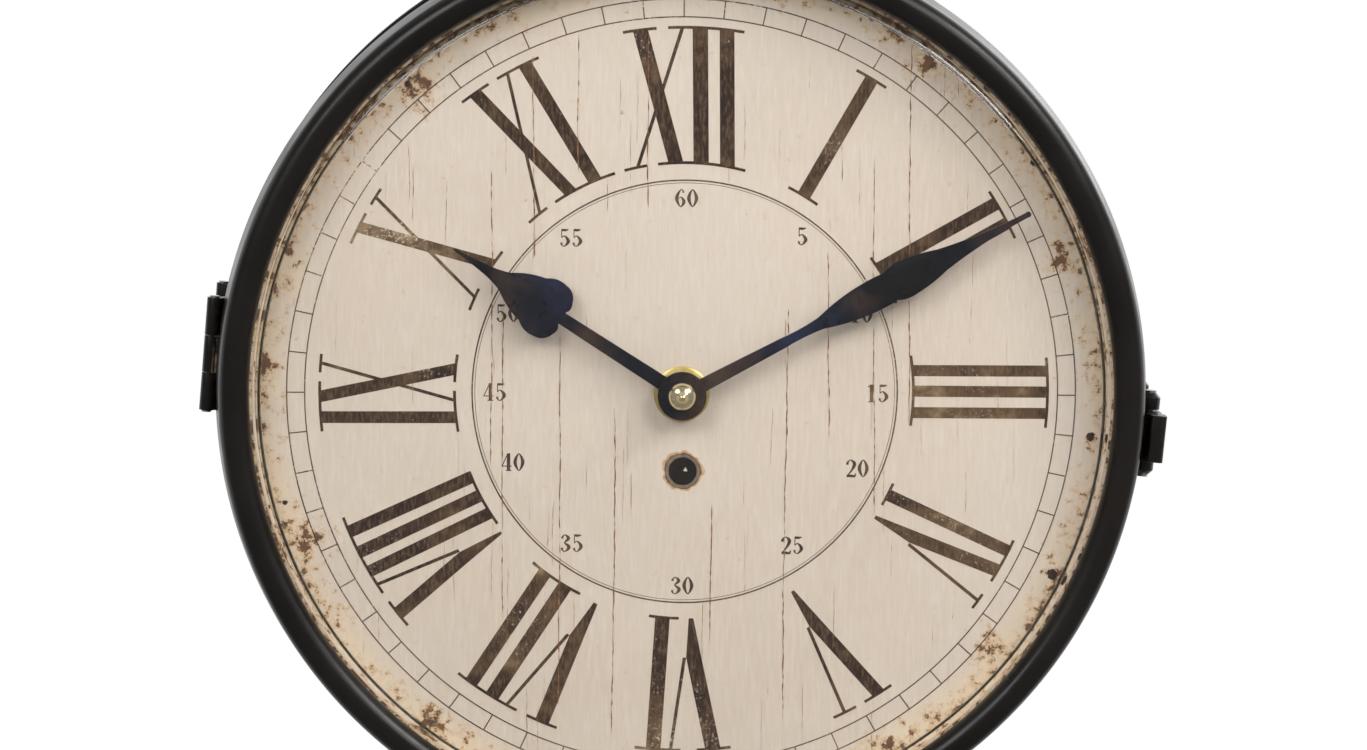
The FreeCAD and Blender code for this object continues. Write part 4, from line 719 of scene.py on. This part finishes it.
def ring_of_ticks():
    """Node tree: short bars stood round a circle, one for each minute."""
    tree = bpy.data.node_groups.new("ring_of_ticks", "GeometryNodeTree")
    names = {
        "count": add_input(tree, "Count", "NodeSocketInt", 12),
        "radius": add_input(tree, "Middle radius", "NodeSocketFloat", 1.0),
        "size": add_input(tree, "Bar size", "NodeSocketVector", (1, 1, 1)),
        "height": add_input(tree, "Height", "NodeSocketFloat", 0.0),
        "finish": add_input(tree, "Finish", "NodeSocketMaterial", None),
    }
    tree.interface.new_socket(name="Mesh", in_out="OUTPUT", socket_type="NodeSocketGeometry")
    make, join = tree.nodes.new, tree.links.new
    given, result = make("NodeGroupInput"), make("NodeGroupOutput")
    bar, moved = make("GeometryNodeMeshCube"), make("GeometryNodeTransform")
    place, angle = make("ShaderNodeCombineXYZ"), make("ShaderNodeCombineXYZ")
    join(given.outputs["Bar size"], bar.inputs["Size"])
    join(given.outputs["Middle radius"], place.inputs["Y"])
    join(given.outputs["Height"], place.inputs["Z"])
    join(bar.outputs["Mesh"], moved.inputs["Geometry"])
    join(place.outputs[0], moved.inputs["Translation"])
    line, spread = make("GeometryNodeMeshLine"), make("GeometryNodeInstanceOnPoints")
    line.inputs["Offset"].default_value = (0, 0, 0)
    join(given.outputs["Count"], line.inputs["Count"])
    index, step, turn = make("GeometryNodeInputIndex"), make("ShaderNodeMath"), make("ShaderNodeMath")
    step.operation, turn.operation = "DIVIDE", "MULTIPLY"
    step.inputs[0].default_value = 2 * math.pi
    join(given.outputs["Count"], step.inputs[1])
    join(index.outputs[0], turn.inputs[0])
    join(step.outputs[0], turn.inputs[1])
    join(turn.outputs[0], angle.inputs["Z"])
    join(line.outputs["Mesh"], spread.inputs["Points"])
    join(moved.outputs["Geometry"], spread.inputs["Instance"])
    join(angle.outputs[0], spread.inputs["Rotation"])
    real, coat = make("GeometryNodeRealizeInstances"), make("GeometryNodeSetMaterial")
    join(spread.outputs["Instances"], real.inputs["Geometry"])
    join(real.outputs["Geometry"], coat.inputs["Geometry"])
    join(given.outputs["Finish"], coat.inputs["Material"])
    join(coat.outputs["Geometry"], result.inputs[0])
    return tree, names


def grown(name, tree, names, values):
    """The plain mesh that a node tree makes from named values."""

    def set_up(holder):
        modifier = holder.modifiers.new(name, "NODES")
        modifier.node_group = tree
        for key, value in values.items():
            modifier[names[key]] = value

    return baked(bpy.data.meshes.new(name), set_up)


tick_tree, tick_inputs = ring_of_ticks()


def rings_mesh(name, rings, shift):
    """Printed circles: (radius, thickness) each."""
    shape = bmesh.new()
    top = dial_face / mm + ink_lift
    for radius, thick in rings:
        rails = arc_rails(radius, 0, 2 * math.pi, thick, 240)[:-1]
        stripe(shape, turned_rails(rails, 0, shift), top - ink_thick, top, closed=True)
    return closed_mesh(name, shape)


# radius and thickness
inner_circles = ((59.3, 0.42), (58.55, 0.16))
circle_shift = Vector((0.9, 0.4))
for side in sides:
    ticks = grown(
        "ticks",
        tick_tree,
        tick_inputs,
        {
            "count": minute_count,
            "radius": (track_inner + track_outer) / 2,
            "size": (hairline, track_outer - track_inner, ink_thick),
            "height": dial_face / mm + ink_lift - ink_thick / 2,
            "finish": hairline_ink,
        },
    )
    printed("minute_ticks", ticks, side, hairline_ink)
    rings = rings_mesh("track", [(track_inner, hairline), (track_outer, hairline)], Vector((0, 0)))
    printed("minute_track", rings, side, hairline_ink)
    circle = rings_mesh("circle", inner_circles, circle_shift)
    printed("inner_circle", circle, side, hairline_ink)

number_places = {
    5: (33.3, 44.2), 10: (49.8, 22.6), 15: (54.6, 0.3), 20: (49.2, -20.8),
    25: (31.2, -42.6), 30: (0.4, -54.1), 35: (-30.5, -42.2), 40: (-47.0, -19.4),
    45: (-52.1, 0.3), 50: (-48.6, 22.4), 55: (-31.0, 43.5), 60: (1.0, 54.7),
}
digit_height = 4.95
digit_spacing = 3.4
pen_weight = 1.18
# pen strokes of each digit in heights: (across, up, pen width), and whether the stroke closes on itself
digit_strokes = {
    "0": [([(0.30, 0.975, 0.05), (0.085, 0.5, 0.17), (0.30, 0.025, 0.05), (0.515, 0.5, 0.17)], True)],
    "1": [
        ([(0.32, 1.0, 0.17), (0.32, 0.0, 0.17)], False),
        ([(0.32, 0.98, 0.05), (0.12, 0.86, 0.06)], False),
        ([(0.12, 0.022, 0.045), (0.52, 0.022, 0.045)], False),
    ],
    "2": [
        ([(0.11, 0.70, 0.12), (0.10, 0.82, 0.10), (0.28, 0.97, 0.05), (0.49, 0.76, 0.17), (0.36, 0.42, 0.10),
          (0.08, 0.06, 0.05)], False),
        ([(0.05, 0.06, 0.12), (0.30, 0.07, 0.13), (0.50, 0.05, 0.10), (0.55, 0.22, 0.045)], False),
    ],
    "3": [
        ([(0.12, 0.76, 0.12), (0.13, 0.86, 0.08), (0.28, 0.97, 0.05), (0.46, 0.77, 0.16),
          (0.22, 0.53, 0.045)], False),
        ([(0.22, 0.53, 0.045), (0.49, 0.28, 0.17), (0.27, 0.025, 0.05), (0.11, 0.13, 0.08),
          (0.11, 0.24, 0.12)], False),
    ],
    "4": [
        ([(0.40, 1.0, 0.16), (0.40, 0.0, 0.16)], False),
        ([(0.36, 0.98, 0.05), (0.03, 0.27, 0.05)], False),
        ([(0.01, 0.27, 0.05), (0.58, 0.27, 0.05)], False),
        ([(0.24, 0.022, 0.045), (0.56, 0.022, 0.045)], False),
    ],
    "5": [
        ([(0.11, 0.95, 0.10), (0.30, 0.93, 0.12), (0.50, 0.96, 0.05)], False),
        ([(0.115, 0.98, 0.045), (0.115, 0.50, 0.045)], False),
        ([(0.115, 0.50, 0.045), (0.28, 0.60, 0.06), (0.49, 0.31, 0.17), (0.27, 0.025, 0.05),
          (0.11, 0.12, 0.08), (0.11, 0.23, 0.12)], False),
    ],
    "6": [
        ([(0.46, 0.80, 0.10), (0.44, 0.92, 0.06), (0.32, 0.975, 0.05), (0.09, 0.5, 0.17),
          (0.30, 0.025, 0.05), (0.50, 0.29, 0.16), (0.33, 0.56, 0.05), (0.15, 0.42, 0.04)], False),
    ],
}


def curve_through(points, closed, steps=8):
    """Points of a smooth line through the given ones, each with its pen width."""
    if len(points) == 2:
        return points
    count = len(points)
    spans = count if closed else count - 1
    line = []
    for span in range(spans):
        places = range(span - 1, span + 3)
        near = [points[k % count if closed else min(max(k, 0), count - 1)] for k in places]
        for step in range(steps):
            t = step / steps
            weights = (
                (-t + 2 * t**2 - t**3) / 2,
                (2 - 5 * t**2 + 3 * t**3) / 2,
                (t + 4 * t**2 - 3 * t**3) / 2,
                (t**3 - t**2) / 2,
            )
            line.append(tuple(sum(w * p[axis] for w, p in zip(weights, near)) for axis in range(3)))
    if not closed:
        line.append(points[-1])
    return line


def pen_rails(line, closed):
    """Rails of a pen stroke along a line of (x, y, width)."""
    rails = []
    for index, (x, y, width) in enumerate(line):
        before = line[index - 1] if closed or index else line[0]
        after = line[(index + 1) % len(line)] if closed or index < len(line) - 1 else line[-1]
        along = Vector((after[0] - before[0], after[1] - before[1])).normalized() * width * pen_weight / 2
        rails.append(((x - along.y, y + along.x), (x + along.y, y - along.x)))
    return rails


def numbers_mesh(name):
    shape = bmesh.new()
    top = dial_face / mm + ink_lift
    for number, (across, up) in number_places.items():
        digits = str(number)
        for place, digit in enumerate(digits):
            left = across + (place - (len(digits) - 1) / 2) * digit_spacing - 0.30 * digit_height
            low = up - digit_height / 2
            for level, (points, closed) in enumerate(digit_strokes[digit]):
                line = curve_through(points, closed)
                rails = [
                    tuple((left + x * digit_height, low + y * digit_height) for x, y in pair)
                    for pair in pen_rails(line, closed)
                ]
                stripe(shape, rails, top - ink_thick, top + level * 0.004, closed)
    return closed_mesh(name, shape)


small_ink = worn_ink("small_ink", (0.045, 0.030, 0.022), (0.085, 0.058, 0.04), 0.66, 0.74)
for side in sides:
    printed("minute_numbers", numbers_mesh("numbers"), side, small_ink)

hole_place = Vector((0.4, -21.8))
hole_rings = (
    # name, outer radius, how far its edge wanders, colour dark, colour light
    ("halo", 5.7, 0.55, (0.50, 0.33, 0.17), (0.66, 0.50, 0.33)),
    ("stain", 5.15, 0.22, (0.13, 0.06, 0.028), (0.30, 0.17, 0.085)),
    ("rim", 4.7, 0.05, (0.17, 0.125, 0.09), (0.26, 0.205, 0.155)),
    ("dark", 3.95, 0.03, (0.006, 0.004, 0.003), (0.016, 0.011, 0.008)),
)
glint_corners = ((0.15, 0.10), (1.35, -0.05), (0.85, 1.15))
blot_inner = 0.02


def add_blot(shape, place, outer, wander, level, seed):
    """A round printed blot with a ragged edge."""
    draw = random.Random(seed)
    steps = 120
    top = dial_face / mm + ink_lift + 0.006 * level
    waves = [(count, draw.uniform(0, 2 * math.pi), draw.uniform(0.4, 1.0)) for count in (1, 2, 3, 5, 9, 16)]
    rails = []
    for step in range(steps):
        turn = 2 * math.pi * step / steps
        sway = sum(size * math.sin(turn * count + phase) for count, phase, size in waves)
        edge = outer + wander * sway / 2
        rails.append(
            tuple((r * math.sin(turn) + place[0], r * math.cos(turn) + place[1]) for r in (edge, blot_inner))
        )
    stripe(shape, rails, top - ink_thick, top, closed=True)


def blot_ink(name, dark, light):
    finish, shader = new_finish(name, 0.0, 0.6)
    tree = finish.node_tree
    tone = ramp(tree, noise(tree, 900, 6), [(0.35, dark), (0.7, light)])
    tree.links.new(tone, shader.inputs["Base Color"])
    shader.inputs["Specular IOR Level"].default_value = 0.12
    return finish


for level, (name, outer, wander, dark, light) in enumerate(hole_rings):
    ink = blot_ink(f"hole_{name}_ink", dark, light)
    for seed, side in enumerate(sides):
        shape = bmesh.new()
        add_blot(shape, hole_place, outer, wander, level, seed + 7)
        printed(f"mock_hole_{name}", closed_mesh(name, shape), side, ink)

glint_ink = blot_ink("glint_ink", (0.55, 0.47, 0.36), (0.80, 0.72, 0.58))
for side in sides:
    shape = bmesh.new()
    top = dial_face / mm + ink_lift + 0.03
    low_left, low_right, peak = [Vector(corner) + hole_place for corner in glint_corners]
    stripe(shape, [(low_right, low_left), (peak, peak.lerp(low_left, 0.3))], top - ink_thick, top)
    printed("mock_hole_glint", closed_mesh("glint", shape), side, glint_ink)

# printed nail heads near the rim: place, radius
nail_heads = (
    ((-114.4, 30.0), 1.0), ((97.6, 65.2), 1.15), ((114.3, -11.6), 1.2), ((104.3, -50.7), 1.5),
    ((-76.5, 86.0), 0.8), ((-110.5, -31.0), 0.7), ((52.0, 105.0), 0.9),
)
nail_ink = blot_ink("nail_ink", (0.020, 0.010, 0.007), (0.085, 0.045, 0.028))
for side in sides:
    shape = bmesh.new()
    for seed, (place, radius) in enumerate(nail_heads):
        add_blot(shape, place, radius, radius * 0.16, 3, seed)
    printed("printed_nails", closed_mesh("nails", shape), side, nail_ink)


# ---- hair cracks in the paper ----
# The paper has split along its upright grain into fine brown lines, a few right across the dial and many
# short ones.

crack_lines = (
    # across and from the top down to the bottom, in millimetres about the centre
    (-53.2, 62, -20), (-49.8, 30, -64), (-41.5, 94, 38), (-34.0, 16, -88), (-29.0, 100, 62),
    (-18.8, -4, -96), (29.2, 24, -92), (53.6, 66, -34), (63.3, 104, -8), (-9.6, 100, 52), (8.4, -30, -70),
    (41.0, 42, -12),
)
crack_sways = ((0.04, 0.5), (0.21, 0.14), (0.9, 0.10))
crack_width = 0.42
short_cracks = 85
crack_reach = 118
hole_margin = 6.2


def cracks_mesh(name, seed):
    shape = bmesh.new()
    draw = random.Random(seed)
    top = dial_face / mm + ink_lift + 0.045
    lines = [(x, high, low, crack_width) for x, high, low in crack_lines]
    for _ in range(short_cracks):
        x, high = draw.uniform(-100, 100), draw.uniform(-95, 100)
        lines.append((x, high, high - draw.uniform(3, 22), draw.uniform(0.08, 0.2)))
    for x, high, low, width in lines:
        sway = [(rate, draw.uniform(0, 6.3), draw.uniform(0.3, 1.0) * reach) for rate, reach in crack_sways]
        rails, count = [], max(4, int((high - low) / 1.2))
        for step in range(count + 1):
            y = high + (low - high) * step / count
            middle = x + sum(math.sin(y * rate + phase) * reach for rate, phase, reach in sway)
            half = width * draw.uniform(0.1, 1.0) / 2
            if step in (0, count) or draw.random() < 0.2:
                half = 0.012
            clear_of_hole = math.hypot(middle - hole_place.x, y - hole_place.y) > hole_margin
            if math.hypot(middle, y) < crack_reach and clear_of_hole:
                rails.append(((middle - half, y), (middle + half, y)))
        if len(rails) > 2:
            stripe(shape, rails, top - 0.02, top)
    return closed_mesh(name, shape)


crack_stain = blot_ink("crack_stain", (0.15, 0.055, 0.022), (0.43, 0.23, 0.10))
for seed, side in enumerate(sides):
    printed("hair_cracks", cracks_mesh("cracks", seed + 3), side, crack_stain)


# ---- bezel rings ----
# Spun from one sheet of steel: a half-round front that holds the lens behind its lip, and a side that
# flares to the rim. Satin black enamel, rubbed thinner on the crown.

crown_circle = 124.4
crown_height = 31.8
crown_radius = 4.3
flank_angle = math.radians(7.7)
flank_length = 9.95
bezel_sheet = 1.0
lathe_steps = 480


def arc_points(centre, radius, start, end, steps):
    """Points along an arc of a section, angles anticlockwise from outwards."""
    angles = [math.radians(start + (end - start) * step / steps) for step in range(steps + 1)]
    return [(centre[0] + radius * math.cos(a), centre[1] + radius * math.sin(a)) for a in angles]


def spun(name, section, smooth_angle=40):
    """A closed section of (radius, height) turned round the dial's axis."""
    shape = bmesh.new()
    rings = []
    for radius, height in section:
        if radius < 1e-6:
            rings.append([shape.verts.new((0, 0, height))] * lathe_steps)
            continue
        turns = [2 * math.pi * step / lathe_steps for step in range(lathe_steps)]
        rings.append([shape.verts.new((radius * math.cos(t), radius * math.sin(t), height)) for t in turns])
    for one, two in zip(rings, rings[1:] + rings[:1]):
        if one[0] is one[1] and two[0] is two[1]:
            continue
        for step in range(lathe_steps):
            after = (step + 1) % lathe_steps
            corners = []
            for vert in (one[step], one[after], two[after], two[step]):
                if vert not in corners:
                    corners.append(vert)
            shape.faces.new(corners)
    mesh = closed_mesh(name, shape)
    mesh.shade_smooth()
    mesh.set_sharp_from_angle(angle=math.radians(smooth_angle))
    return mesh


def bezel_section():
    """The sheet's outside from the lip over the crown to the rim, and back along its inside."""
    crown = (crown_circle, crown_height)
    tilt = math.degrees(flank_angle)
    outside = arc_points(crown, crown_radius, 180, tilt, 30)
    run = Vector((math.sin(flank_angle), -math.cos(flank_angle))) * flank_length
    foot = Vector(outside[-1]) + run
    middle = Vector(outside[-1]).lerp(foot, 0.5)
    inside = arc_points(crown, crown_radius - bezel_sheet, tilt, 180, 24)
    inner_foot = Vector(inside[0]) + run
    edge = (foot + inner_foot) / 2
    rim = [foot - run * 0.02, edge + run.normalized() * -0.05, inner_foot - run * 0.02]
    return outside + [tuple(middle)] + [tuple(point) for point in rim] + inside


ring_enamel = black_enamel("ring_enamel", 0.56, 0.66, (0.07, 0.045, 0.03))
for side in sides:
    ring = stand(spun(f"ring_{side}", bezel_section()), side)
    own_mesh(f"bezel_spun_{side}", ring, ring_enamel, f"bezel_{side}", "black_shell", f"bezel_ring_{side}")


# ---- lenses ----
# Pressed clear lens: a flat flange that the bezel's lip holds, a tight rounded shoulder and a shallow dome.

lens_thick = 2.0
lens_edge = 127.0
shoulder_circle = 116.4
shoulder_radius = 3.0
dome_angle = 81.0


def lens_section():
    """From the pole of the dome's outside over the shoulder to the flange's edge, and back inside."""
    dome_radius = shoulder_circle / math.cos(math.radians(dome_angle)) + shoulder_radius
    dome_centre = (0, crown_height - shoulder_circle * math.tan(math.radians(dome_angle)))
    shoulder = (shoulder_circle, crown_height)
    inner_dome, inner_shoulder = dome_radius - lens_thick, shoulder_radius - lens_thick
    outside = arc_points(dome_centre, dome_radius, 90, dome_angle, 20)[:-1]
    outside += arc_points(shoulder, shoulder_radius, dome_angle, 0, 20)
    flange = [(lens_edge, crown_height), (lens_edge, crown_height - lens_thick)]
    inside = [(shoulder_circle + inner_shoulder, crown_height - lens_thick)]
    inside += arc_points(shoulder, inner_shoulder, 0, dome_angle, 14)[:-1]
    inside += arc_points(dome_centre, inner_dome, dome_angle, 90, 20)
    return outside + flange + inside


def clear_glass():
    finish, shader = new_finish("clear_lens_glass", 0.0, 0.02)
    tree = finish.node_tree
    shader.inputs["Transmission Weight"].default_value = 1.0
    shader.inputs["IOR"].default_value = 1.49
    film = ramp(tree, noise(tree, 30, 4), [(0.35, (0.985, 0.988, 0.99)), (0.8, (0.96, 0.968, 0.975))])
    tree.links.new(film, shader.inputs["Base Color"])
    path = tree.nodes.new("ShaderNodeLightPath")
    open_way = tree.nodes.new("ShaderNodeBsdfTransparent")
    both = tree.nodes.new("ShaderNodeMixShader")
    tree.links.new(path.outputs["Is Shadow Ray"], both.inputs[0])
    tree.links.new(shader.outputs[0], both.inputs[1])
    tree.links.new(open_way.outputs[0], both.inputs[2])
    tree.links.new(both.outputs[0], tree.nodes["Material Output"].inputs["Surface"])
    return finish


glass = clear_glass()
for side in sides:
    dome = stand(spun(f"dome_{side}", lens_section()), side)
    own_mesh(f"lens_dome_{side}", dome, glass, f"bezel_{side}", "clear_lens", f"lens_{side}")


# ---- hub: brass washers, nuts, bushes and cap nuts ----
# Turned brass, satin and a little tarnished, with fine turning marks. The cap nut is polished.


def turned_brass(name, light, dark, low, high):
    finish, shader = new_finish(name, 1.0, 0.25)
    tree = finish.node_tree
    colour = ramp(tree, noise(tree, 420, 5), [(0.3, dark), (0.66, light)])
    tree.links.new(colour, shader.inputs["Base Color"])
    tree.links.new(ramp(tree, noise(tree, 900, 4), [(0.3, low), (0.7, high)]), shader.inputs["Roughness"])
    marks = maths(tree, "SINE", times(tree, polar(tree), 40.0))
    relief(tree, shader, marks, 0.00001, 0.25)
    return finish


worn_brass = turned_brass("worn_brass", (0.82, 0.63, 0.25), (0.62, 0.45, 0.15), 0.26, 0.44)
polished_brass = turned_brass("polished_brass", (0.93, 0.86, 0.60), (0.84, 0.74, 0.44), 0.10, 0.22)
for node in ("dial_washers", "bush_nuts"):
    own_mesh(f"{node}_turned", eased(node, 0.12), worn_brass, "case", "worn_brass", node)
for side in sides:
    dress(f"bush_{side}", worn_brass)
    dress(f"minute_arbor_{side}", worn_brass)
    cap = f"cap_nut_{side}"
    own_mesh(f"{cap}_turned", eased(cap, 0.1, 50), polished_brass, f"minute_{side}", "worn_brass", cap)


# ---- hands ----
# Cut from thin steel sheet, their edges eased, coloured blue black and lacquered, with a painted blue sheen
# and painted brown reflections in their colour.


def blue_black():
    finish, shader = new_finish("blue_black_lacquer_and_painted_sheen", 0.0, 0.3)
    tree = finish.node_tree
    shader.inputs["Specular IOR Level"].default_value = 0.2
    # The near-black tones are the lacquer's own; the bluest tone is a painted blue sheen.
    colour = ramp(
        tree, noise(tree, 45, 5),
        [(0.40, (0.0025, 0.0022, 0.0035)), (0.56, (0.004, 0.0048, 0.012)), (0.70, (0.014, 0.018, 0.050))],
    )
    # Brown patches mixed over the lacquer: a painted brown reflection.
    painted_brown_reflection = ramp(tree, noise(tree, 38, 4, offset=(0.7, 2.0, 0.3)), [(0.52, 0.0), (0.66, 0.75)])
    colour = mix(tree, painted_brown_reflection, colour, (0.070, 0.040, 0.028))
    tree.links.new(colour, shader.inputs["Base Color"])
    tree.links.new(ramp(tree, noise(tree, 260, 5), [(0.3, 0.24), (0.7, 0.42)]), shader.inputs["Roughness"])
    relief(tree, shader, noise(tree, 500, 4), 0.00006, 0.4)
    return finish


lacquer_and_painted_sheen = blue_black()
for side in sides:
    for kind in ("minute", "hour"):
        hand = f"{kind}_hand_{side}"
        own_mesh(f"{hand}_lacquered", eased(hand, 0.16), lacquer_and_painted_sheen, f"{kind}_{side}", "blued_hand", hand)


# ---- movements ----
# Moulded black cases with a lid, white moulded wheels and hour tube, a wound coil, a small circuit board, a
# rubber washer and one AA cell in a plain jacket.


def moulding(name, light, dark, roughness):
    finish, shader = new_finish(name, 0.0, roughness)
    tree = finish.node_tree
    tree.links.new(ramp(tree, noise(tree, 70, 4), [(0.3, dark), (0.75, light)]), shader.inputs["Base Color"])
    tree.links.new(
        ramp(tree, noise(tree, 400, 4), [(0.3, roughness - 0.08), (0.7, roughness + 0.1)]),
        shader.inputs["Roughness"],
    )
    relief(tree, shader, noise(tree, 2600, 3), 0.00005, 0.6)
    return finish


def jacket():
    """Cell jacket: dark wrap with a plain copper coloured band at the positive end."""
    finish, shader = new_finish("cell_wrap", 0.2, 0.28)
    tree = finish.node_tree
    place = tree.nodes.new("ShaderNodeTexCoord")
    parts = tree.nodes.new("ShaderNodeSeparateXYZ")
    tree.links.new(place.outputs["Object"], parts.inputs[0])
    band = maths(tree, "GREATER_THAN", parts.outputs["X"], clock_centre.x + 12 * mm)
    tone = mix(tree, band, (0.012, 0.030, 0.045), (0.48, 0.22, 0.085))
    scuffed = mix(tree, ramp(tree, noise(tree, 300, 5), [(0.55, 0.0), (0.75, 0.4)]), tone, (0.2, 0.2, 0.2))
    tree.links.new(scuffed, shader.inputs["Base Color"])
    return finish


def wound_wire():
    finish, shader = new_finish("wound_copper", 0.9, 0.3)
    tree = finish.node_tree
    place = tree.nodes.new("ShaderNodeTexCoord")
    turns = tree.nodes.new("ShaderNodeTexWave")
    turns.bands_direction = "Z"
    turns.inputs["Scale"].default_value = 900
    tree.links.new(place.outputs["Object"], turns.inputs["Vector"])
    colour = ramp(tree, turns.outputs["Fac"], [(0.1, (0.25, 0.09, 0.035)), (0.8, (0.62, 0.27, 0.12))])
    tree.links.new(colour, shader.inputs["Base Color"])
    relief(tree, shader, turns.outputs["Fac"], 0.0001, 0.7)
    return finish


black_moulding = moulding("black_moulding", (0.022, 0.022, 0.022), (0.011, 0.011, 0.011), 0.5)
white_moulding = moulding("white_moulding", (0.78, 0.77, 0.73), (0.66, 0.65, 0.60), 0.4)
rubber = moulding("grey_rubber", (0.07, 0.07, 0.07), (0.035, 0.035, 0.035), 0.8)
laminate = moulding("green_laminate", (0.02, 0.16, 0.06), (0.01, 0.09, 0.035), 0.35)
cell_wrap = jacket()
dress("rubber_washers", rubber)
dress("circuit_boards", laminate)
dress("motor_coils", wound_wire())
for side in sides:
    for node in ("movement_case", "movement_lid"):
        dress(f"{node}_{side}", black_moulding)
    for node in ("hour_tube", "set_wheel"):
        dress(f"{node}_{side}", white_moulding)
    dress(f"battery_{side}", cell_wrap)
